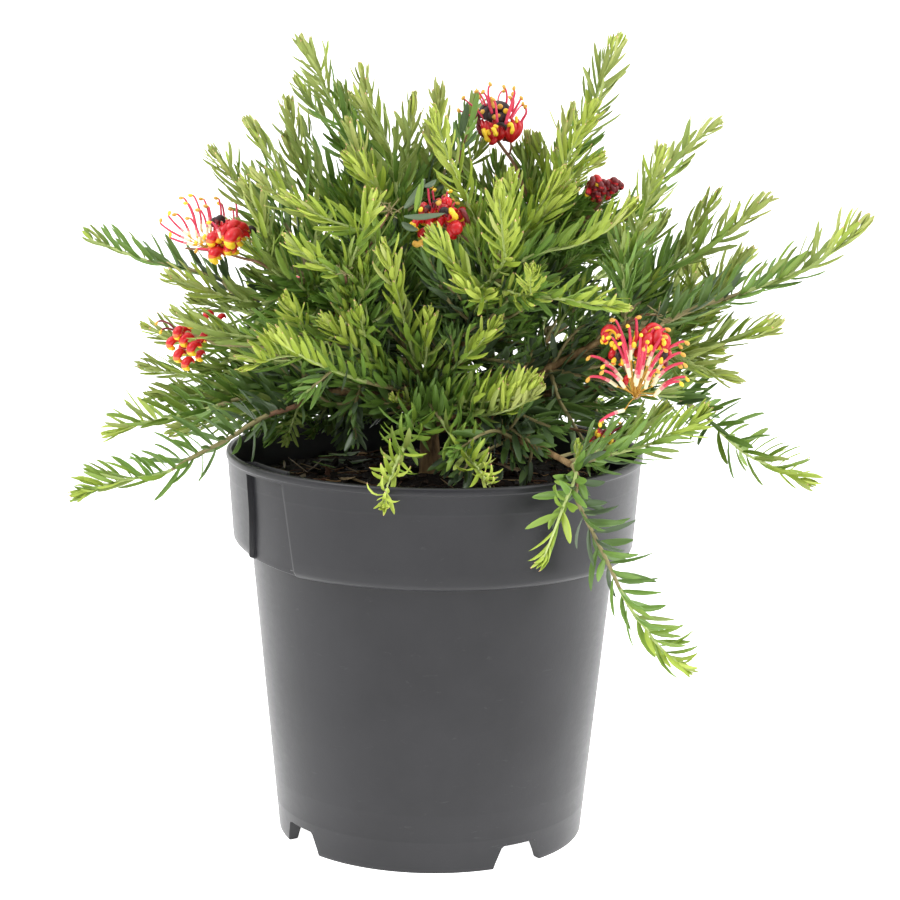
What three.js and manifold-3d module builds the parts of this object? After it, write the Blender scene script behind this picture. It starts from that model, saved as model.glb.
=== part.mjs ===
// A small flowering shrub with spidery blossom, in the round plastic nursery pot it is sold in.
// Millimetres, +Z up. The origin is the middle of the pot's flat underside; -Y is the side the
// long bright shoots in the middle of the crown lean towards, +X is to the right of it.
//
// The pot and the soil are turned shapes. The trunk and the boughs are tapering limbs. Each mass
// of leaves is one closed, uneven plume or clump that grows on from a bough, worked out from a
// heading, a length and a girth. Neighbours are cut clear of each other by a small gap.
import * as THREE from "three";
import { mergeVertices } from "three/addons/utils/BufferGeometryUtils.js";
import Module from "manifold-3d";

const wasm = await Module();
wasm.setup();

// ---------------------------------------------------------------- driving dimensions
const GAP = 0.4; // clearance kept between neighbouring hard pieces
const LEAF_GAP = 0.8; // and round a mass of leaves
const EASE = 0.25; // how closely a cut mass keeps to its exact faces
const POT = {
  height: 179.6,
  rimR: 95.5, // outside of the rim
  lip: 4.5, // height of the rolled rim band
  collarTopR: 94.2, // the wide collar under the rim
  collarLowR: 91.2,
  collarZ: 134, // lower edge of the collar
  bodyTopR: 84.4, // the wall below the collar is set in
  baseR: 70.8,
  wall: 2.0,
  floorZ: 8.5, // underside of the raised floor
  floor: 2.0,
  ringR: 66.4, // inside of the foot ring
  padR: 24, // middle pad that also stands on the ground
  sides: 32,
};
const NOTCH = { count: 4, first: 34.5, low: 26, top: 18, height: 10.8 }; // drainage notches in the foot ring
const RECESS = { centre: 216.6, half: 7.6, r: 87.6, top: POT.height - 5.2 }; // hand recess in the collar, one each side
const SOIL = { level: 163.4, crown: 2.6, edge: -2.2, sides: 22 };
const TRUNK = {
  foot: [-2, 1, 164.0],
  fork: [-6, -8, 207],
  footR: 6.6,
  midR: 4.5,
  topR: 3.9,
};
const DEG = Math.PI / 180;

// ---------------------------------------------------------------- seeded noise
function seeded(seed) {
  let s = seed >>> 0;
  return () => {
    s = (s + 0x6d2b79f5) >>> 0;
    let t = s;
    t = Math.imul(t ^ (t >>> 15), t | 1);
    t ^= t + Math.imul(t ^ (t >>> 7), t | 61);
    return ((t ^ (t >>> 14)) >>> 0) / 4294967296;
  };
}

// ---------------------------------------------------------------- geometry <-> solids
function merged(geometry) {
  const g = geometry.index ? geometry.clone() : geometry;
  g.deleteAttribute("normal");
  g.deleteAttribute("uv");
  return mergeVertices(g, 1e-4);
}
function solid(geometry) {
  const g = merged(geometry);
  const tri = new Uint32Array(g.index.array);
  const make = (t) =>
    new wasm.Manifold(
      new wasm.Mesh({
        numProp: 3,
        vertProperties: new Float32Array(g.attributes.position.array),
        triVerts: t,
      }),
    );
  const made = make(tri);
  if (made.volume() > 0) return made;
  for (let i = 0; i < tri.length; i += 3)
    [tri[i + 1], tri[i + 2]] = [tri[i + 2], tri[i + 1]];
  return make(tri);
}
function biggest(s) {
  const bodies = s.decompose();
  let best = bodies[0];
  for (const b of bodies) if (b.volume() > best.volume()) best = b;
  return best;
}
function meshOf(name, s, look) {
  const m = s.getMesh();
  const g = new THREE.BufferGeometry();
  g.setAttribute("position", new THREE.BufferAttribute(new Float32Array(m.vertProperties), 3));
  g.setIndex(new THREE.BufferAttribute(new Uint32Array(m.triVerts), 1));
  g.computeVertexNormals();
  const mesh = new THREE.Mesh(g, new THREE.MeshStandardMaterial({ flatShading: true, metalness: 0, ...look }));
  mesh.name = name;
  return mesh;
}
const cutAll = (s, others) => others.reduce((a, b) => a.subtract(b), s);

// ---------------------------------------------------------------- turned shapes
// profile: [radius, height] pairs that start and end on the axis, or close on themselves
function turned(profile, sides) {
  const pts = profile.map(([r, z]) => new THREE.Vector2(r, z));
  return solid(new THREE.LatheGeometry(pts, sides).rotateX(Math.PI / 2));
}
// an upright block that fills a sector of a ring
function ringSector(r0, r1, a0, a1, z0, z1) {
  const shape = new THREE.Shape();
  shape.absarc(0, 0, r1, a0 * DEG, a1 * DEG, false);
  shape.absarc(0, 0, r0, a1 * DEG, a0 * DEG, true);
  shape.closePath();
  return solid(
    new THREE.ExtrudeGeometry(shape, { depth: z1 - z0, bevelEnabled: false, curveSegments: 5 }).translate(0, 0, z0),
  );
}

function potOutline(grow) {
  const { height: h, lip, rimR, collarTopR, collarLowR, collarZ, bodyTopR, baseR } = POT;
  return turned(
    [
      [0, -grow],
      [baseR - 1.2 + grow, -grow],
      [baseR + grow, 2 - grow],
      [bodyTopR + grow, collarZ - 1 - grow],
      [collarLowR + grow, collarZ - grow],
      [collarTopR + grow, h - lip - 1 - grow],
      [rimR + grow, h - lip - grow],
      [rimR + grow, h - 0.8 + grow],
      [rimR - 0.8 + grow, h + grow],
      [0, h + grow],
    ],
    POT.sides,
  );
}
function potCavity(inset) {
  const { height: h, wall, collarTopR, collarLowR, collarZ, bodyTopR, baseR, floorZ, floor } = POT;
  const w = wall + inset;
  const z0 = floorZ + floor + inset;
  return turned(
    [
      [0, z0],
      [baseR + 0.9 - w, z0],
      [bodyTopR - w + 0.1, collarZ + 1.2 + inset],
      [collarLowR - w, collarZ + 2.2 + inset],
      [collarTopR - w, h - 6],
      [collarTopR - w + 0.6, h + 2],
      [0, h + 2],
    ],
    POT.sides,
  );
}
function recesses(grow) {
  return [0, 180].map((turn) =>
    ringSector(
      RECESS.r - grow,
      120,
      RECESS.centre + turn - RECESS.half - grow * 0.65,
      RECESS.centre + turn + RECESS.half + grow * 0.65,
      POT.collarZ - 8 - grow,
      RECESS.top + grow,
    ),
  );
}
function notch(turn) {
  const { low, top, height } = NOTCH;
  const s = new THREE.Shape();
  s.moveTo(-low / 2 - 0.4, -1);
  s.lineTo(low / 2 + 0.4, -1);
  s.lineTo(top / 2, height);
  s.lineTo(-top / 2, height);
  s.closePath();
  return solid(
    new THREE.ExtrudeGeometry(s, { depth: 20, bevelEnabled: false })
      .rotateX(Math.PI / 2)
      .translate(0, -59, 0)
      .rotateZ(turn * DEG),
  );
}
function makePot() {
  const under = turned(
    [
      [POT.padR, -1],
      [POT.ringR, -1],
      [POT.ringR - 1.2, POT.floorZ],
      [POT.padR + 1.5, POT.floorZ],
      [POT.padR, -1],
    ],
    POT.sides,
  );
  let body = cutAll(potOutline(0), recesses(0));
  const cavity = cutAll(potCavity(0), recesses(POT.wall));
  body = body.subtract(cavity).subtract(under);
  for (let i = 0; i < NOTCH.count; i++) body = body.subtract(notch(NOTCH.first + (360 / NOTCH.count) * i));
  return biggest(body);
}
function makeSoil() {
  const rnd = seeded(11);
  const rim = POT.collarLowR - POT.wall + (SOIL.level - POT.collarZ) * 0.07 + 1.2;
  const block = turned(
    [
      [0, 0],
      [rim + 6, 0],
      [rim + 6, SOIL.level + SOIL.edge],
      [rim * 0.93, SOIL.level + SOIL.edge * 0.3],
      [rim * 0.62, SOIL.level + SOIL.crown * 0.2],
      [rim * 0.3, SOIL.level + SOIL.crown * 0.1],
      [9.5, SOIL.level],
      [0, SOIL.level],
    ],
    SOIL.sides,
  );
  const rough = block.warp((v) => {
    const r = Math.hypot(v[0], v[1]);
    if (v[2] > SOIL.level - 4 && r > 12)
      v[2] += 0.9 * Math.sin(v[0] * 0.11 + 1.3) * Math.cos(v[1] * 0.13) + (rnd() - 0.5) * 0.9;
  });
  return biggest(cutAll(rough.intersect(potCavity(GAP)), recesses(POT.wall + GAP)));
}

// ---------------------------------------------------------------- limbs
const v3 = (p) => new THREE.Vector3(...p);
function heading(az, rise) {
  return new THREE.Vector3(
    Math.cos(rise * DEG) * Math.cos(az * DEG),
    Math.cos(rise * DEG) * Math.sin(az * DEG),
    Math.sin(rise * DEG),
  );
}
// a curve from a to b whose middle is raised (or sunk) by bow, square to its run
function bowed(a, b, bow) {
  const run = b.clone().sub(a);
  const side = new THREE.Vector3(0, 0, 1).cross(run);
  if (side.length() < 1e-3) side.set(1, 0, 0);
  const up = run.clone().cross(side).normalize();
  const mid = a.clone().add(b).multiplyScalar(0.5).addScaledVector(up, 2 * bow);
  return new THREE.QuadraticBezierCurve3(a, mid, b);
}
// squares a frame to the curve at t
function frameAt(curve, t) {
  const T = curve.getTangent(t);
  let U = new THREE.Vector3(0, 0, 1).addScaledVector(T, -T.z);
  if (U.length() < 0.05) U = new THREE.Vector3(0, -1, 0).addScaledVector(T, T.y);
  U.normalize();
  return [curve.getPoint(t), U, T.clone().cross(U).normalize()];
}
// radius(t) round the curve; ends cut square
function limb(curve, radius, sides, steps) {
  const g = merged(new THREE.CylinderGeometry(1, 1, 1, sides, steps));
  const p = g.attributes.position;
  for (let i = 0; i < p.count; i++) {
    const t = p.getY(i) + 0.5;
    const [c, U, V] = frameAt(curve, t);
    const r = radius(t);
    c.addScaledVector(U, p.getX(i) * r).addScaledVector(V, p.getZ(i) * r);
    p.setXYZ(i, c.x, c.y, c.z);
  }
  return solid(g);
}
const trunkCurve = new THREE.QuadraticBezierCurve3(v3(TRUNK.foot), v3([-2.5, 0, 186]), v3(TRUNK.fork));
function trunkRadius(t) {
  const { footR, midR, topR } = TRUNK;
  return t < 0.3 ? midR + (footR - midR) * (1 - t / 0.3) ** 1.7 : midR + (topR - midR) * ((t - 0.3) / 0.7);
}
function makeTrunk(grow) {
  const s = limb(trunkCurve, (t) => trunkRadius(t) + grow, 10, 6);
  return grow ? s : s.trimByPlane([0, 0, 1], TRUNK.foot[2]);
}

// Boughs: where each leaves the trunk (0 foot, 1 fork), where it ends, and how it bows.
const BOUGHS = {
  left_low: { at: 0.76, end: [-62, -8, 204], bow: 5, r: [2.3, 1.3] },
  left_front: { at: 0.9, end: [-40, -42, 255], bow: -4, r: [2.2, 1.1] },
  left_high: { at: 0.98, end: [-58, -4, 258], bow: -5, r: [2.4, 1.2] },
  top_left: { at: 1.0, end: [-27, 9, 280], bow: -4, r: [2.5, 1.2] },
  centre: { at: 0.92, end: [24, -34, 262], bow: -3, r: [2.4, 1.2] },
  top_right: { at: 0.98, end: [50, 12, 280], bow: -5, r: [2.5, 1.2] },
  right: { at: 0.84, end: [84, -22, 241], bow: -5, r: [2.4, 1.3] },
  right_low: { at: 0.68, end: [92, 4, 208], bow: 4, r: [2.3, 1.3] },
  front_right: { at: 0.6, end: [59, -74, 186.5], bow: 5, r: [2.0, 1.3] },
  back_left: { at: 0.74, end: [-52, 58, 236], bow: -3, r: [2.3, 1.2] },
  back: { at: 0.92, end: [6, 66, 244], bow: -3, r: [2.3, 1.2] },
  back_right: { at: 0.8, end: [64, 56, 232], bow: -3, r: [2.3, 1.2] },
};
for (const b of Object.values(BOUGHS)) {
  const from = trunkCurve.getPoint(b.at);
  const out = v3(b.end).sub(from);
  if (b.at < 1) out.setZ(0).normalize().multiplyScalar(trunkRadius(b.at) + GAP);
  else out.setLength(TRUNK.topR);
  b.curve = bowed(from.add(out), v3(b.end), b.bow);
}
function makeBough(b, grow) {
  return limb(b.curve, (t) => b.r[0] + (b.r[1] - b.r[0]) * t + grow, 6, 5);
}

// ---------------------------------------------------------------- masses of leaves
// A plume follows a curve: a narrow stalk where it leaves the bough, fullest about half way, and
// closing to the tip bud. Its section is uneven and rides high, because the leaves comb upwards.
const LIFT = 0.22; // how far the section rides above the stem, in girths
const STALK_R = 2.2;
function plumeShape({ curve, girth, stalk, seed }, grow) {
  const rnd = seeded(seed * 977 + 5);
  const wave = Array.from({ length: 4 }, () => rnd() * Math.PI * 2);
  const g = merged(new THREE.SphereGeometry(1, 7, 7));
  const q = g.attributes.position;
  for (let i = 0; i < q.count; i++) {
    const y = Math.max(-1, Math.min(1, q.getY(i)));
    const t = 1 - Math.acos(y) / Math.PI; // 0 at the root, 1 at the tip
    const pole = y * y > 1 - 1e-9;
    const a = Math.atan2(q.getZ(i), q.getX(i));
    const s = Math.max(0, (t - stalk) / (1 - stalk));
    const full = Math.max(0, Math.sin(Math.PI * s ** 0.85));
    const uneven =
      1 +
      0.12 * Math.sin(2 * a + wave[0] + 7 * t) +
      0.09 * Math.sin(3 * a + wave[1] - 5 * t) +
      0.1 * Math.sin(11 * t + wave[2]);
    const r = pole ? 0 : Math.max(STALK_R, girth * (0.34 * Math.sqrt(full) + 0.66 * full) * uneven) + grow;
    const [c, U, V] = frameAt(curve, t);
    c.addScaledVector(U, Math.cos(a) * r + LIFT * girth * full).addScaledVector(V, Math.sin(a) * r);
    if (pole) c.addScaledVector(curve.getTangent(t), t > 0.5 ? grow : -grow);
    q.setXYZ(i, c.x, c.y, c.z);
  }
  return solid(g);
}
// Plumes: the bough (or the trunk) each grows on, its place there, its heading (az from +X
// towards +Y, rise from level), length, girth and bow.
const PLUMES = {
  left_reach: ["left_low", 0.6, 204, -16, 133, 15, -4.5],
  left_low: ["left_low", 0.95, 172, -12, 94, 16, -3.5],
  left_mid: ["left_low", 0.9, 151, 2, 98, 16, -4],
  left_long: ["left_high", 0.85, 167, 14, 116, 15, -3],
  left_front: ["left_front", 0.7, 188, 6, 86, 15, -5],
  left_upper: ["left_high", 1.0, 175, 52, 73, 15, 1],
  left_high: ["left_high", 1.0, 202, 68, 77, 14, 0],
  top_left_low: ["top_left", 0.8, 183, 59, 86, 14, -3.5],
  top_left_tall: ["top_left", 1.0, 157, 64, 93, 15, 0],
  top_left_inner: ["top_left", 1.0, 145, 82, 73, 14, -2],
  front_left_high: ["left_front", 1.0, 230, 52, 52, 15, -2],
  top_middle: ["centre", 0.9, 175, 73, 84, 17, -2],
  centre_upper: ["centre", 1.0, 285, 50, 60, 16, 0],
  front_upright: ["trunk", 1.0, 254, 51, 95, 14, 0],
  front_left_long: ["trunk", 1.0, 230, 19, 107, 15, -5],
  front_middle: ["trunk", 1.0, 296, 36, 72, 14, -1.5],
  front_right_fan: ["trunk", 1.0, 307, 13, 90, 16, -7],
  front_droop: ["trunk", 0.97, 262, -18, 104, 13, -1],
  top_right_tall: ["top_right", 1.0, 41, 64, 97, 15, 0],
  top_right_full: ["top_right", 1.0, 305, 58, 68, 18, 0],
  right_upright: ["right", 0.95, 311, 73, 85, 16, 0],
  right_high: ["right", 1.0, 28, 62, 100, 14, -2],
  right_upper: ["right", 1.0, 11, 41, 86, 15, -2.5],
  right_long: ["right", 0.95, 1, 24, 122, 16, -5],
  right_mid: ["right_low", 0.95, 4, 20, 78, 16, -5],
  right_droop: ["right_low", 1.0, 11, -29, 97, 15, -4.5],
  rim_right: ["front_right", 1.0, 354, 25, 61, 15, -3.5],
  rim_hanging_short: ["front_right", 1.0, 250, -41, 51, 12, 0],
  rim_hanging_long: ["front_right", 1.0, 337, -57, 99, 14, -6],
};
// The side away from the long bright shoots carries plumes of the same kind, low and high in turn.
const BACK = {
  count: 8,
  boughs: ["right_low", "back_right", "back_right", "back", "back", "back", "back_left", "back_left"],
  az: [34, 160], // from the first to the last
  low: { rise: 6, length: 96, girth: 17 },
  high: { rise: 57, length: 94, girth: 18 },
};
// Clumps: the leafy body of the crown, one uneven clump round the end of each upper bough.
const CLUMPS = {
  clump_left: { at: [-50, 0, 243], size: [25, 24, 25] },
  clump_left_front: { at: [-33, -33, 250], size: [20, 20, 24] },
  clump_top_left: { at: [-24, 8, 281], size: [28, 26, 26] },
  clump_centre: { at: [20, -28, 262], size: [27, 23, 25] },
  clump_top_right: { at: [50, 6, 280], size: [29, 27, 24] },
  clump_right: { at: [80, -8, 242], size: [27, 25, 25] },
  clump_back: { at: [8, 54, 252], size: [38, 27, 32] },
};
function plumes() {
  const list = Object.entries(PLUMES).map(([name, [bough, place, az, rise, length, girth, bow]], i) => {
    const from = bough === "trunk" ? trunkCurve.getPoint(place) : BOUGHS[bough].curve.getPoint(place);
    const to = from.clone().addScaledVector(heading(az, rise), length);
    return { name, girth, stalk: bough === "trunk" ? 0.2 : 0.06, seed: i + 1, curve: bowed(from, to, bow) };
  });
  const rnd = seeded(5);
  for (let i = 0; i < BACK.count; i++) {
    const kind = i % 2 ? BACK.high : BACK.low;
    const az = BACK.az[0] + ((BACK.az[1] - BACK.az[0]) * i) / (BACK.count - 1) + (rnd() - 0.5) * 6;
    const from = BOUGHS[BACK.boughs[i]].curve.getPoint(0.75 + 0.25 * rnd());
    const to = from.clone().addScaledVector(heading(az, kind.rise + (rnd() - 0.5) * 14), kind.length * (0.9 + 0.2 * rnd()));
    list.push({
      name: "back_" + (i + 1),
      girth: kind.girth,
      stalk: 0.06,
      seed: 60 + i,
      curve: bowed(from, to, -2 - 3 * rnd()),
    });
  }
  return list;
}
function clumpShape(name, grow) {
  const names = Object.keys(CLUMPS);
  const { at, size } = CLUMPS[name];
  const rnd = seeded(300 + names.indexOf(name));
  const wave = Array.from({ length: 4 }, () => rnd() * Math.PI * 2);
  const g = merged(new THREE.SphereGeometry(1, 9, 6).rotateX(Math.PI / 2));
  const q = g.attributes.position;
  for (let i = 0; i < q.count; i++) {
    const d = new THREE.Vector3().fromBufferAttribute(q, i);
    const a = Math.atan2(d.y, d.x);
    const ring = Math.hypot(d.x, d.y);
    const uneven = 1 + ring * (0.13 * Math.sin(3 * a + wave[0]) + 0.09 * Math.sin(5 * a + wave[1])) + 0.1 * Math.sin(4 * d.z + wave[2]);
    q.setXYZ(
      i,
      at[0] + d.x * (size[0] * uneven + grow),
      at[1] + d.y * (size[1] * uneven + grow),
      at[2] + d.z * (size[2] * uneven + grow),
    );
  }
  // where two clumps meet, each stops at the plane half way between them
  let s = solid(g);
  const here = v3(at);
  for (const other of names)
    if (other !== name) {
      const n = v3(CLUMPS[other].at).sub(here);
      const half = n.length() / 2;
      n.normalize();
      const keep = here.dot(n) + half - LEAF_GAP / 2 + grow;
      s = s.trimByPlane([-n.x, -n.y, -n.z], -keep);
    }
  return s;
}

// ---------------------------------------------------------------- assembly
const LOOK = {
  pot: { color: 0x4c4c4f, roughness: 0.45 },
  soil: { color: 0x2a1f18, roughness: 0.95 },
  wood: { color: 0x7a5238, roughness: 0.85 },
  bough: { color: 0x8a5a42, roughness: 0.8 },
  old: { color: 0x3d5a2c, roughness: 0.7 },
  leaf: { color: 0x7fa83a, roughness: 0.65 },
};
const plant = new THREE.Group();

plant.add(meshOf("pot", makePot(), LOOK.pot));
plant.add(meshOf("soil", makeSoil(), LOOK.soil));
plant.add(meshOf("trunk", makeTrunk(0), LOOK.wood));

const clearOfPot = potOutline(LEAF_GAP);
const clearOfTrunk = makeTrunk(LEAF_GAP);
const clearings = []; // every mass made so far, grown by the gap
for (const name of Object.keys(CLUMPS)) {
  const s = biggest(clumpShape(name, 0).subtract(clearOfTrunk)).simplify(EASE);
  clearings.push(clumpShape(name, LEAF_GAP));
  plant.add(meshOf(name, s, LOOK.old));
}
for (const p of plumes()) {
  const s = biggest(cutAll(plumeShape(p, 0), [clearOfPot, clearOfTrunk, ...clearings]).simplify(EASE));
  clearings.push(plumeShape(p, LEAF_GAP));
  plant.add(meshOf("leaves_" + p.name, s, LOOK.leaf));
}
const boughClearings = [];
for (const [name, b] of Object.entries(BOUGHS)) {
  const s = biggest(cutAll(makeBough(b, 0), [clearOfPot, clearOfTrunk, ...clearings, ...boughClearings]).simplify(EASE / 2));
  boughClearings.push(makeBough(b, LEAF_GAP));
  plant.add(meshOf("bough_" + name, s, LOOK.bough));
}

export default plant;
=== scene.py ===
import math

import bmesh
import bpy
import numpy as np
from mathutils import Matrix, Vector, noise


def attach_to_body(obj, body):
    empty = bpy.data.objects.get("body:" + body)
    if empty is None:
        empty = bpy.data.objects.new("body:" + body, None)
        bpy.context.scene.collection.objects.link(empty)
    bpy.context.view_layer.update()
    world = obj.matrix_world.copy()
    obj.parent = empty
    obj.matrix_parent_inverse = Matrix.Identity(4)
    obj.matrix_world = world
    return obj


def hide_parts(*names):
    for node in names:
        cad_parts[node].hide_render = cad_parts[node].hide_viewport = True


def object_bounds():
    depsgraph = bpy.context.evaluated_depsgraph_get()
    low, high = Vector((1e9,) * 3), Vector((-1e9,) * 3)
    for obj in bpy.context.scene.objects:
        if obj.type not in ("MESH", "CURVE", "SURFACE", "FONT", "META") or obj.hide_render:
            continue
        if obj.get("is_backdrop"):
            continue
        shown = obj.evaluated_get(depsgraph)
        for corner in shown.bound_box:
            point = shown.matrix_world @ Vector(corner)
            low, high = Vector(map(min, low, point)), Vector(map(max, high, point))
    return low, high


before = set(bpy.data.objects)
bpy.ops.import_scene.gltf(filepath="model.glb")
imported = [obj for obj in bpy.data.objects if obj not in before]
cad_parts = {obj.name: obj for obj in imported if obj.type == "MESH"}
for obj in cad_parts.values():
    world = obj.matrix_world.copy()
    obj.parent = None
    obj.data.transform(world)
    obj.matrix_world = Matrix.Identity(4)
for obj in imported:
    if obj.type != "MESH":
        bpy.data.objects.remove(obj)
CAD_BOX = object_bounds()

# A small flowering shrub with spidery blossom in its round plastic nursery pot. Lengths in the
# tables are centimetres in the row frame (origin under the middle of the pot, +Z up, -Y the
# front); everything is made in metres.
CM = 0.01
GOLDEN = math.radians(137.508)
rng = np.random.default_rng(20)


# ------------------------------------------------------------------ small vector helpers
def unit(v):
    v = np.asarray(v, float)
    return v / np.maximum(np.linalg.norm(v, axis=-1, keepdims=True), 1e-12)


def cross(a, b):
    return np.cross(a, b)


def across(t, ref=(0.0, 0.0, 1.0)):
    """The part of ref that is square to t, or of another axis where they run together."""
    t = np.asarray(t, float)
    ref = np.broadcast_to(np.asarray(ref, float), t.shape)
    u = ref - (ref * t).sum(-1, keepdims=True) * t
    weak = np.linalg.norm(u, axis=-1) < 0.08
    if weak.any():
        other = np.broadcast_to(np.array([0.0, -1.0, 0.15]), t.shape)
        v = other - (other * t).sum(-1, keepdims=True) * t
        u = np.where(weak[..., None], v, u)
    return unit(u)


def spline(points, step):
    """A smooth line through the points, in steps of about that length."""
    p = np.asarray(points, float)
    p = np.vstack([2 * p[0] - p[1], p, 2 * p[-1] - p[-2]])
    out = []
    for i in range(1, len(p) - 2):
        a, b, c, d = p[i - 1 : i + 3]
        ta, tb = (
            np.linalg.norm(c - b) / max(np.linalg.norm(x), 1e-9)
            for x in ((c - a), (d - b))
        )
        ma, mb = (c - a) * ta, (d - b) * tb
        t = np.linspace(0, 1, 24, endpoint=False)[:, None]
        out.append(
            (2 * t**3 - 3 * t**2 + 1) * b
            + (t**3 - 2 * t**2 + t) * ma
            + (-2 * t**3 + 3 * t**2) * c
            + (t**3 - t**2) * mb
        )
    out.append(p[-2][None])
    out = np.vstack(out)
    s = np.concatenate([[0], np.cumsum(np.linalg.norm(np.diff(out, axis=0), axis=1))])
    n = max(2, int(round(s[-1] / step)) + 1)
    q = np.linspace(0, s[-1], n)
    return np.stack([np.interp(q, s, out[:, k]) for k in range(3)], 1)


def tangents(p):
    return unit(np.gradient(p, axis=0))


def length_of(p):
    return float(np.linalg.norm(np.diff(p, axis=0), axis=1).sum())


def bowed(a, b, bow, n=24):
    """A curve from a to b whose middle is raised (or sunk) by bow, square to its run."""
    a, b = np.asarray(a, float), np.asarray(b, float)
    run = b - a
    side = np.cross([0.0, 0.0, 1.0], run)
    if np.linalg.norm(side) < 1e-6:
        side = np.array([1.0, 0.0, 0.0])
    mid = (a + b) / 2 + unit(np.cross(run, side)) * 2 * bow
    t = np.linspace(0, 1, n)[:, None]
    return (1 - t) ** 2 * a + 2 * t * (1 - t) * mid + t**2 * b


# ------------------------------------------------------------------ joined meshes
class Pile:
    """Gathers many small shapes, in centimetres, into one mesh."""

    def __init__(self):
        self.verts, self.faces, self.slots, self.count = [], [], [], 0

    def add(self, verts, faces, slots=0):
        """verts (n, 3); faces is a list of (m, 3) or (m, 4) index arrays; slots one number each."""
        verts = np.asarray(verts, float).reshape(-1, 3)
        if not isinstance(slots, (list, tuple)):
            slots = [slots] * len(faces)
        for f, m in zip(faces, slots):
            f = np.asarray(f, np.int64)
            if len(f):
                self.faces.append(f + self.count)
                self.slots.append(np.broadcast_to(np.asarray(m, np.int32), (len(f),)))
        self.verts.append(verts)
        self.count += len(verts)

    def triangles(self):
        return sum(len(f) * (f.shape[1] - 2) for f in self.faces)

    def build(self, name, materials, smooth=True):
        mesh = bpy.data.meshes.new(name)
        co = np.concatenate(self.verts) * CM
        flat = np.concatenate([f.ravel() for f in self.faces])
        sizes = np.concatenate([np.full(len(f), f.shape[1]) for f in self.faces])
        slot = np.concatenate(self.slots)
        mesh.vertices.add(len(co))
        mesh.vertices.foreach_set("co", co.astype(np.float32).ravel())
        mesh.loops.add(len(flat))
        mesh.loops.foreach_set("vertex_index", flat.astype(np.int32))
        mesh.polygons.add(len(sizes))
        starts = np.concatenate([[0], np.cumsum(sizes)[:-1]])
        mesh.polygons.foreach_set("loop_start", starts.astype(np.int32))
        mesh.polygons.foreach_set("loop_total", sizes.astype(np.int32))
        mesh.polygons.foreach_set("material_index", slot.astype(np.int32))
        mesh.polygons.foreach_set("use_smooth", np.full(len(sizes), bool(smooth)))
        for m in materials:
            mesh.materials.append(m)
        mesh.update(calc_edges=True)
        mesh.validate()
        obj = bpy.data.objects.new(name, mesh)
        bpy.context.scene.collection.objects.link(obj)
        return obj


def tube(p, r, sides=6, closed=True, wobble=None, up=(0.0, 0.0, 1.0)):
    """A round limb along p with radii r: (verts, [quads, tris])."""
    p, r = np.asarray(p, float), np.broadcast_to(np.asarray(r, float), (len(p),))
    t = tangents(p)
    u = np.zeros_like(p)
    u[0] = across(t[0], up)
    for i in range(1, len(p)):
        v = u[i - 1] - np.dot(u[i - 1], t[i]) * t[i]
        u[i] = v / max(np.linalg.norm(v), 1e-9)
    w = np.cross(t, u)
    a = np.linspace(0, 2 * np.pi, sides, endpoint=False)
    rr = r[:, None] * (wobble(np.arange(len(p))[:, None], a[None]) if wobble else 1.0)
    rr = np.broadcast_to(rr, (len(p), sides))
    verts = p[:, None] + rr[..., None] * (
        np.cos(a)[None, :, None] * u[:, None] + np.sin(a)[None, :, None] * w[:, None]
    )
    n = len(p)
    i, j = np.meshgrid(np.arange(n - 1), np.arange(sides), indexing="ij")
    k = (j + 1) % sides
    quads = np.stack([i * sides + j, i * sides + k, (i + 1) * sides + k, (i + 1) * sides + j], -1)
    verts = verts.reshape(-1, 3)
    tris = np.zeros((0, 3), int)
    if closed:
        base = len(verts)
        verts = np.vstack([verts, p[0] - t[0] * r[0] * 0.3, p[-1] + t[-1] * r[-1] * 0.6])
        j = np.arange(sides)
        k = (j + 1) % sides
        tris = np.concatenate(
            [
                np.stack([k, j, np.full(sides, base)], -1),
                np.stack([(n - 1) * sides + j, (n - 1) * sides + k, np.full(sides, base + 1)], -1),
            ]
        )
    return verts, [quads.reshape(-1, 4), tris]


def ball(centre, r, squash=(1, 1, 1), axes=None, n=8, m=5):
    """A small rounded knob: (verts, [quads, tris])."""
    lat = np.linspace(-np.pi / 2, np.pi / 2, m + 1)[1:-1]
    lon = np.linspace(0, 2 * np.pi, n, endpoint=False)
    v = np.stack(
        [
            np.cos(lat)[:, None] * np.cos(lon)[None],
            np.cos(lat)[:, None] * np.sin(lon)[None],
            np.broadcast_to(np.sin(lat)[:, None], (m - 1, n)),
        ],
        -1,
    ).reshape(-1, 3)
    v = np.vstack([v, [0, 0, -1], [0, 0, 1]]) * np.asarray(squash) * r
    if axes is not None:
        v = v @ np.asarray(axes)
    i, j = np.meshgrid(np.arange(m - 2), np.arange(n), indexing="ij")
    k = (j + 1) % n
    quads = np.stack([i * n + j, i * n + k, (i + 1) * n + k, (i + 1) * n + j], -1).reshape(-1, 4)
    j = np.arange(n)
    k = (j + 1) % n
    b = (m - 1) * n
    tris = np.concatenate(
        [
            np.stack([k, j, np.full(n, b)], -1),
            np.stack([(m - 2) * n + j, (m - 2) * n + k, np.full(n, b + 1)], -1),
        ]
    )
    return v + np.asarray(centre), [quads, tris]


# ------------------------------------------------------------------ materials
def linear(rgb):
    c = np.asarray(rgb, float) / 255
    return tuple(np.where(c <= 0.04045, c / 12.92, ((c + 0.055) / 1.055) ** 2.4)) + (1.0,)


def new_material(name):
    m = bpy.data.materials.new(name)
    m.use_nodes = True
    m.node_tree.nodes.clear()
    out = m.node_tree.nodes.new("ShaderNodeOutputMaterial")
    b = m.node_tree.nodes.new("ShaderNodeBsdfPrincipled")
    m.node_tree.links.new(b.outputs["BSDF"], out.inputs["Surface"])
    return m, m.node_tree, b


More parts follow.
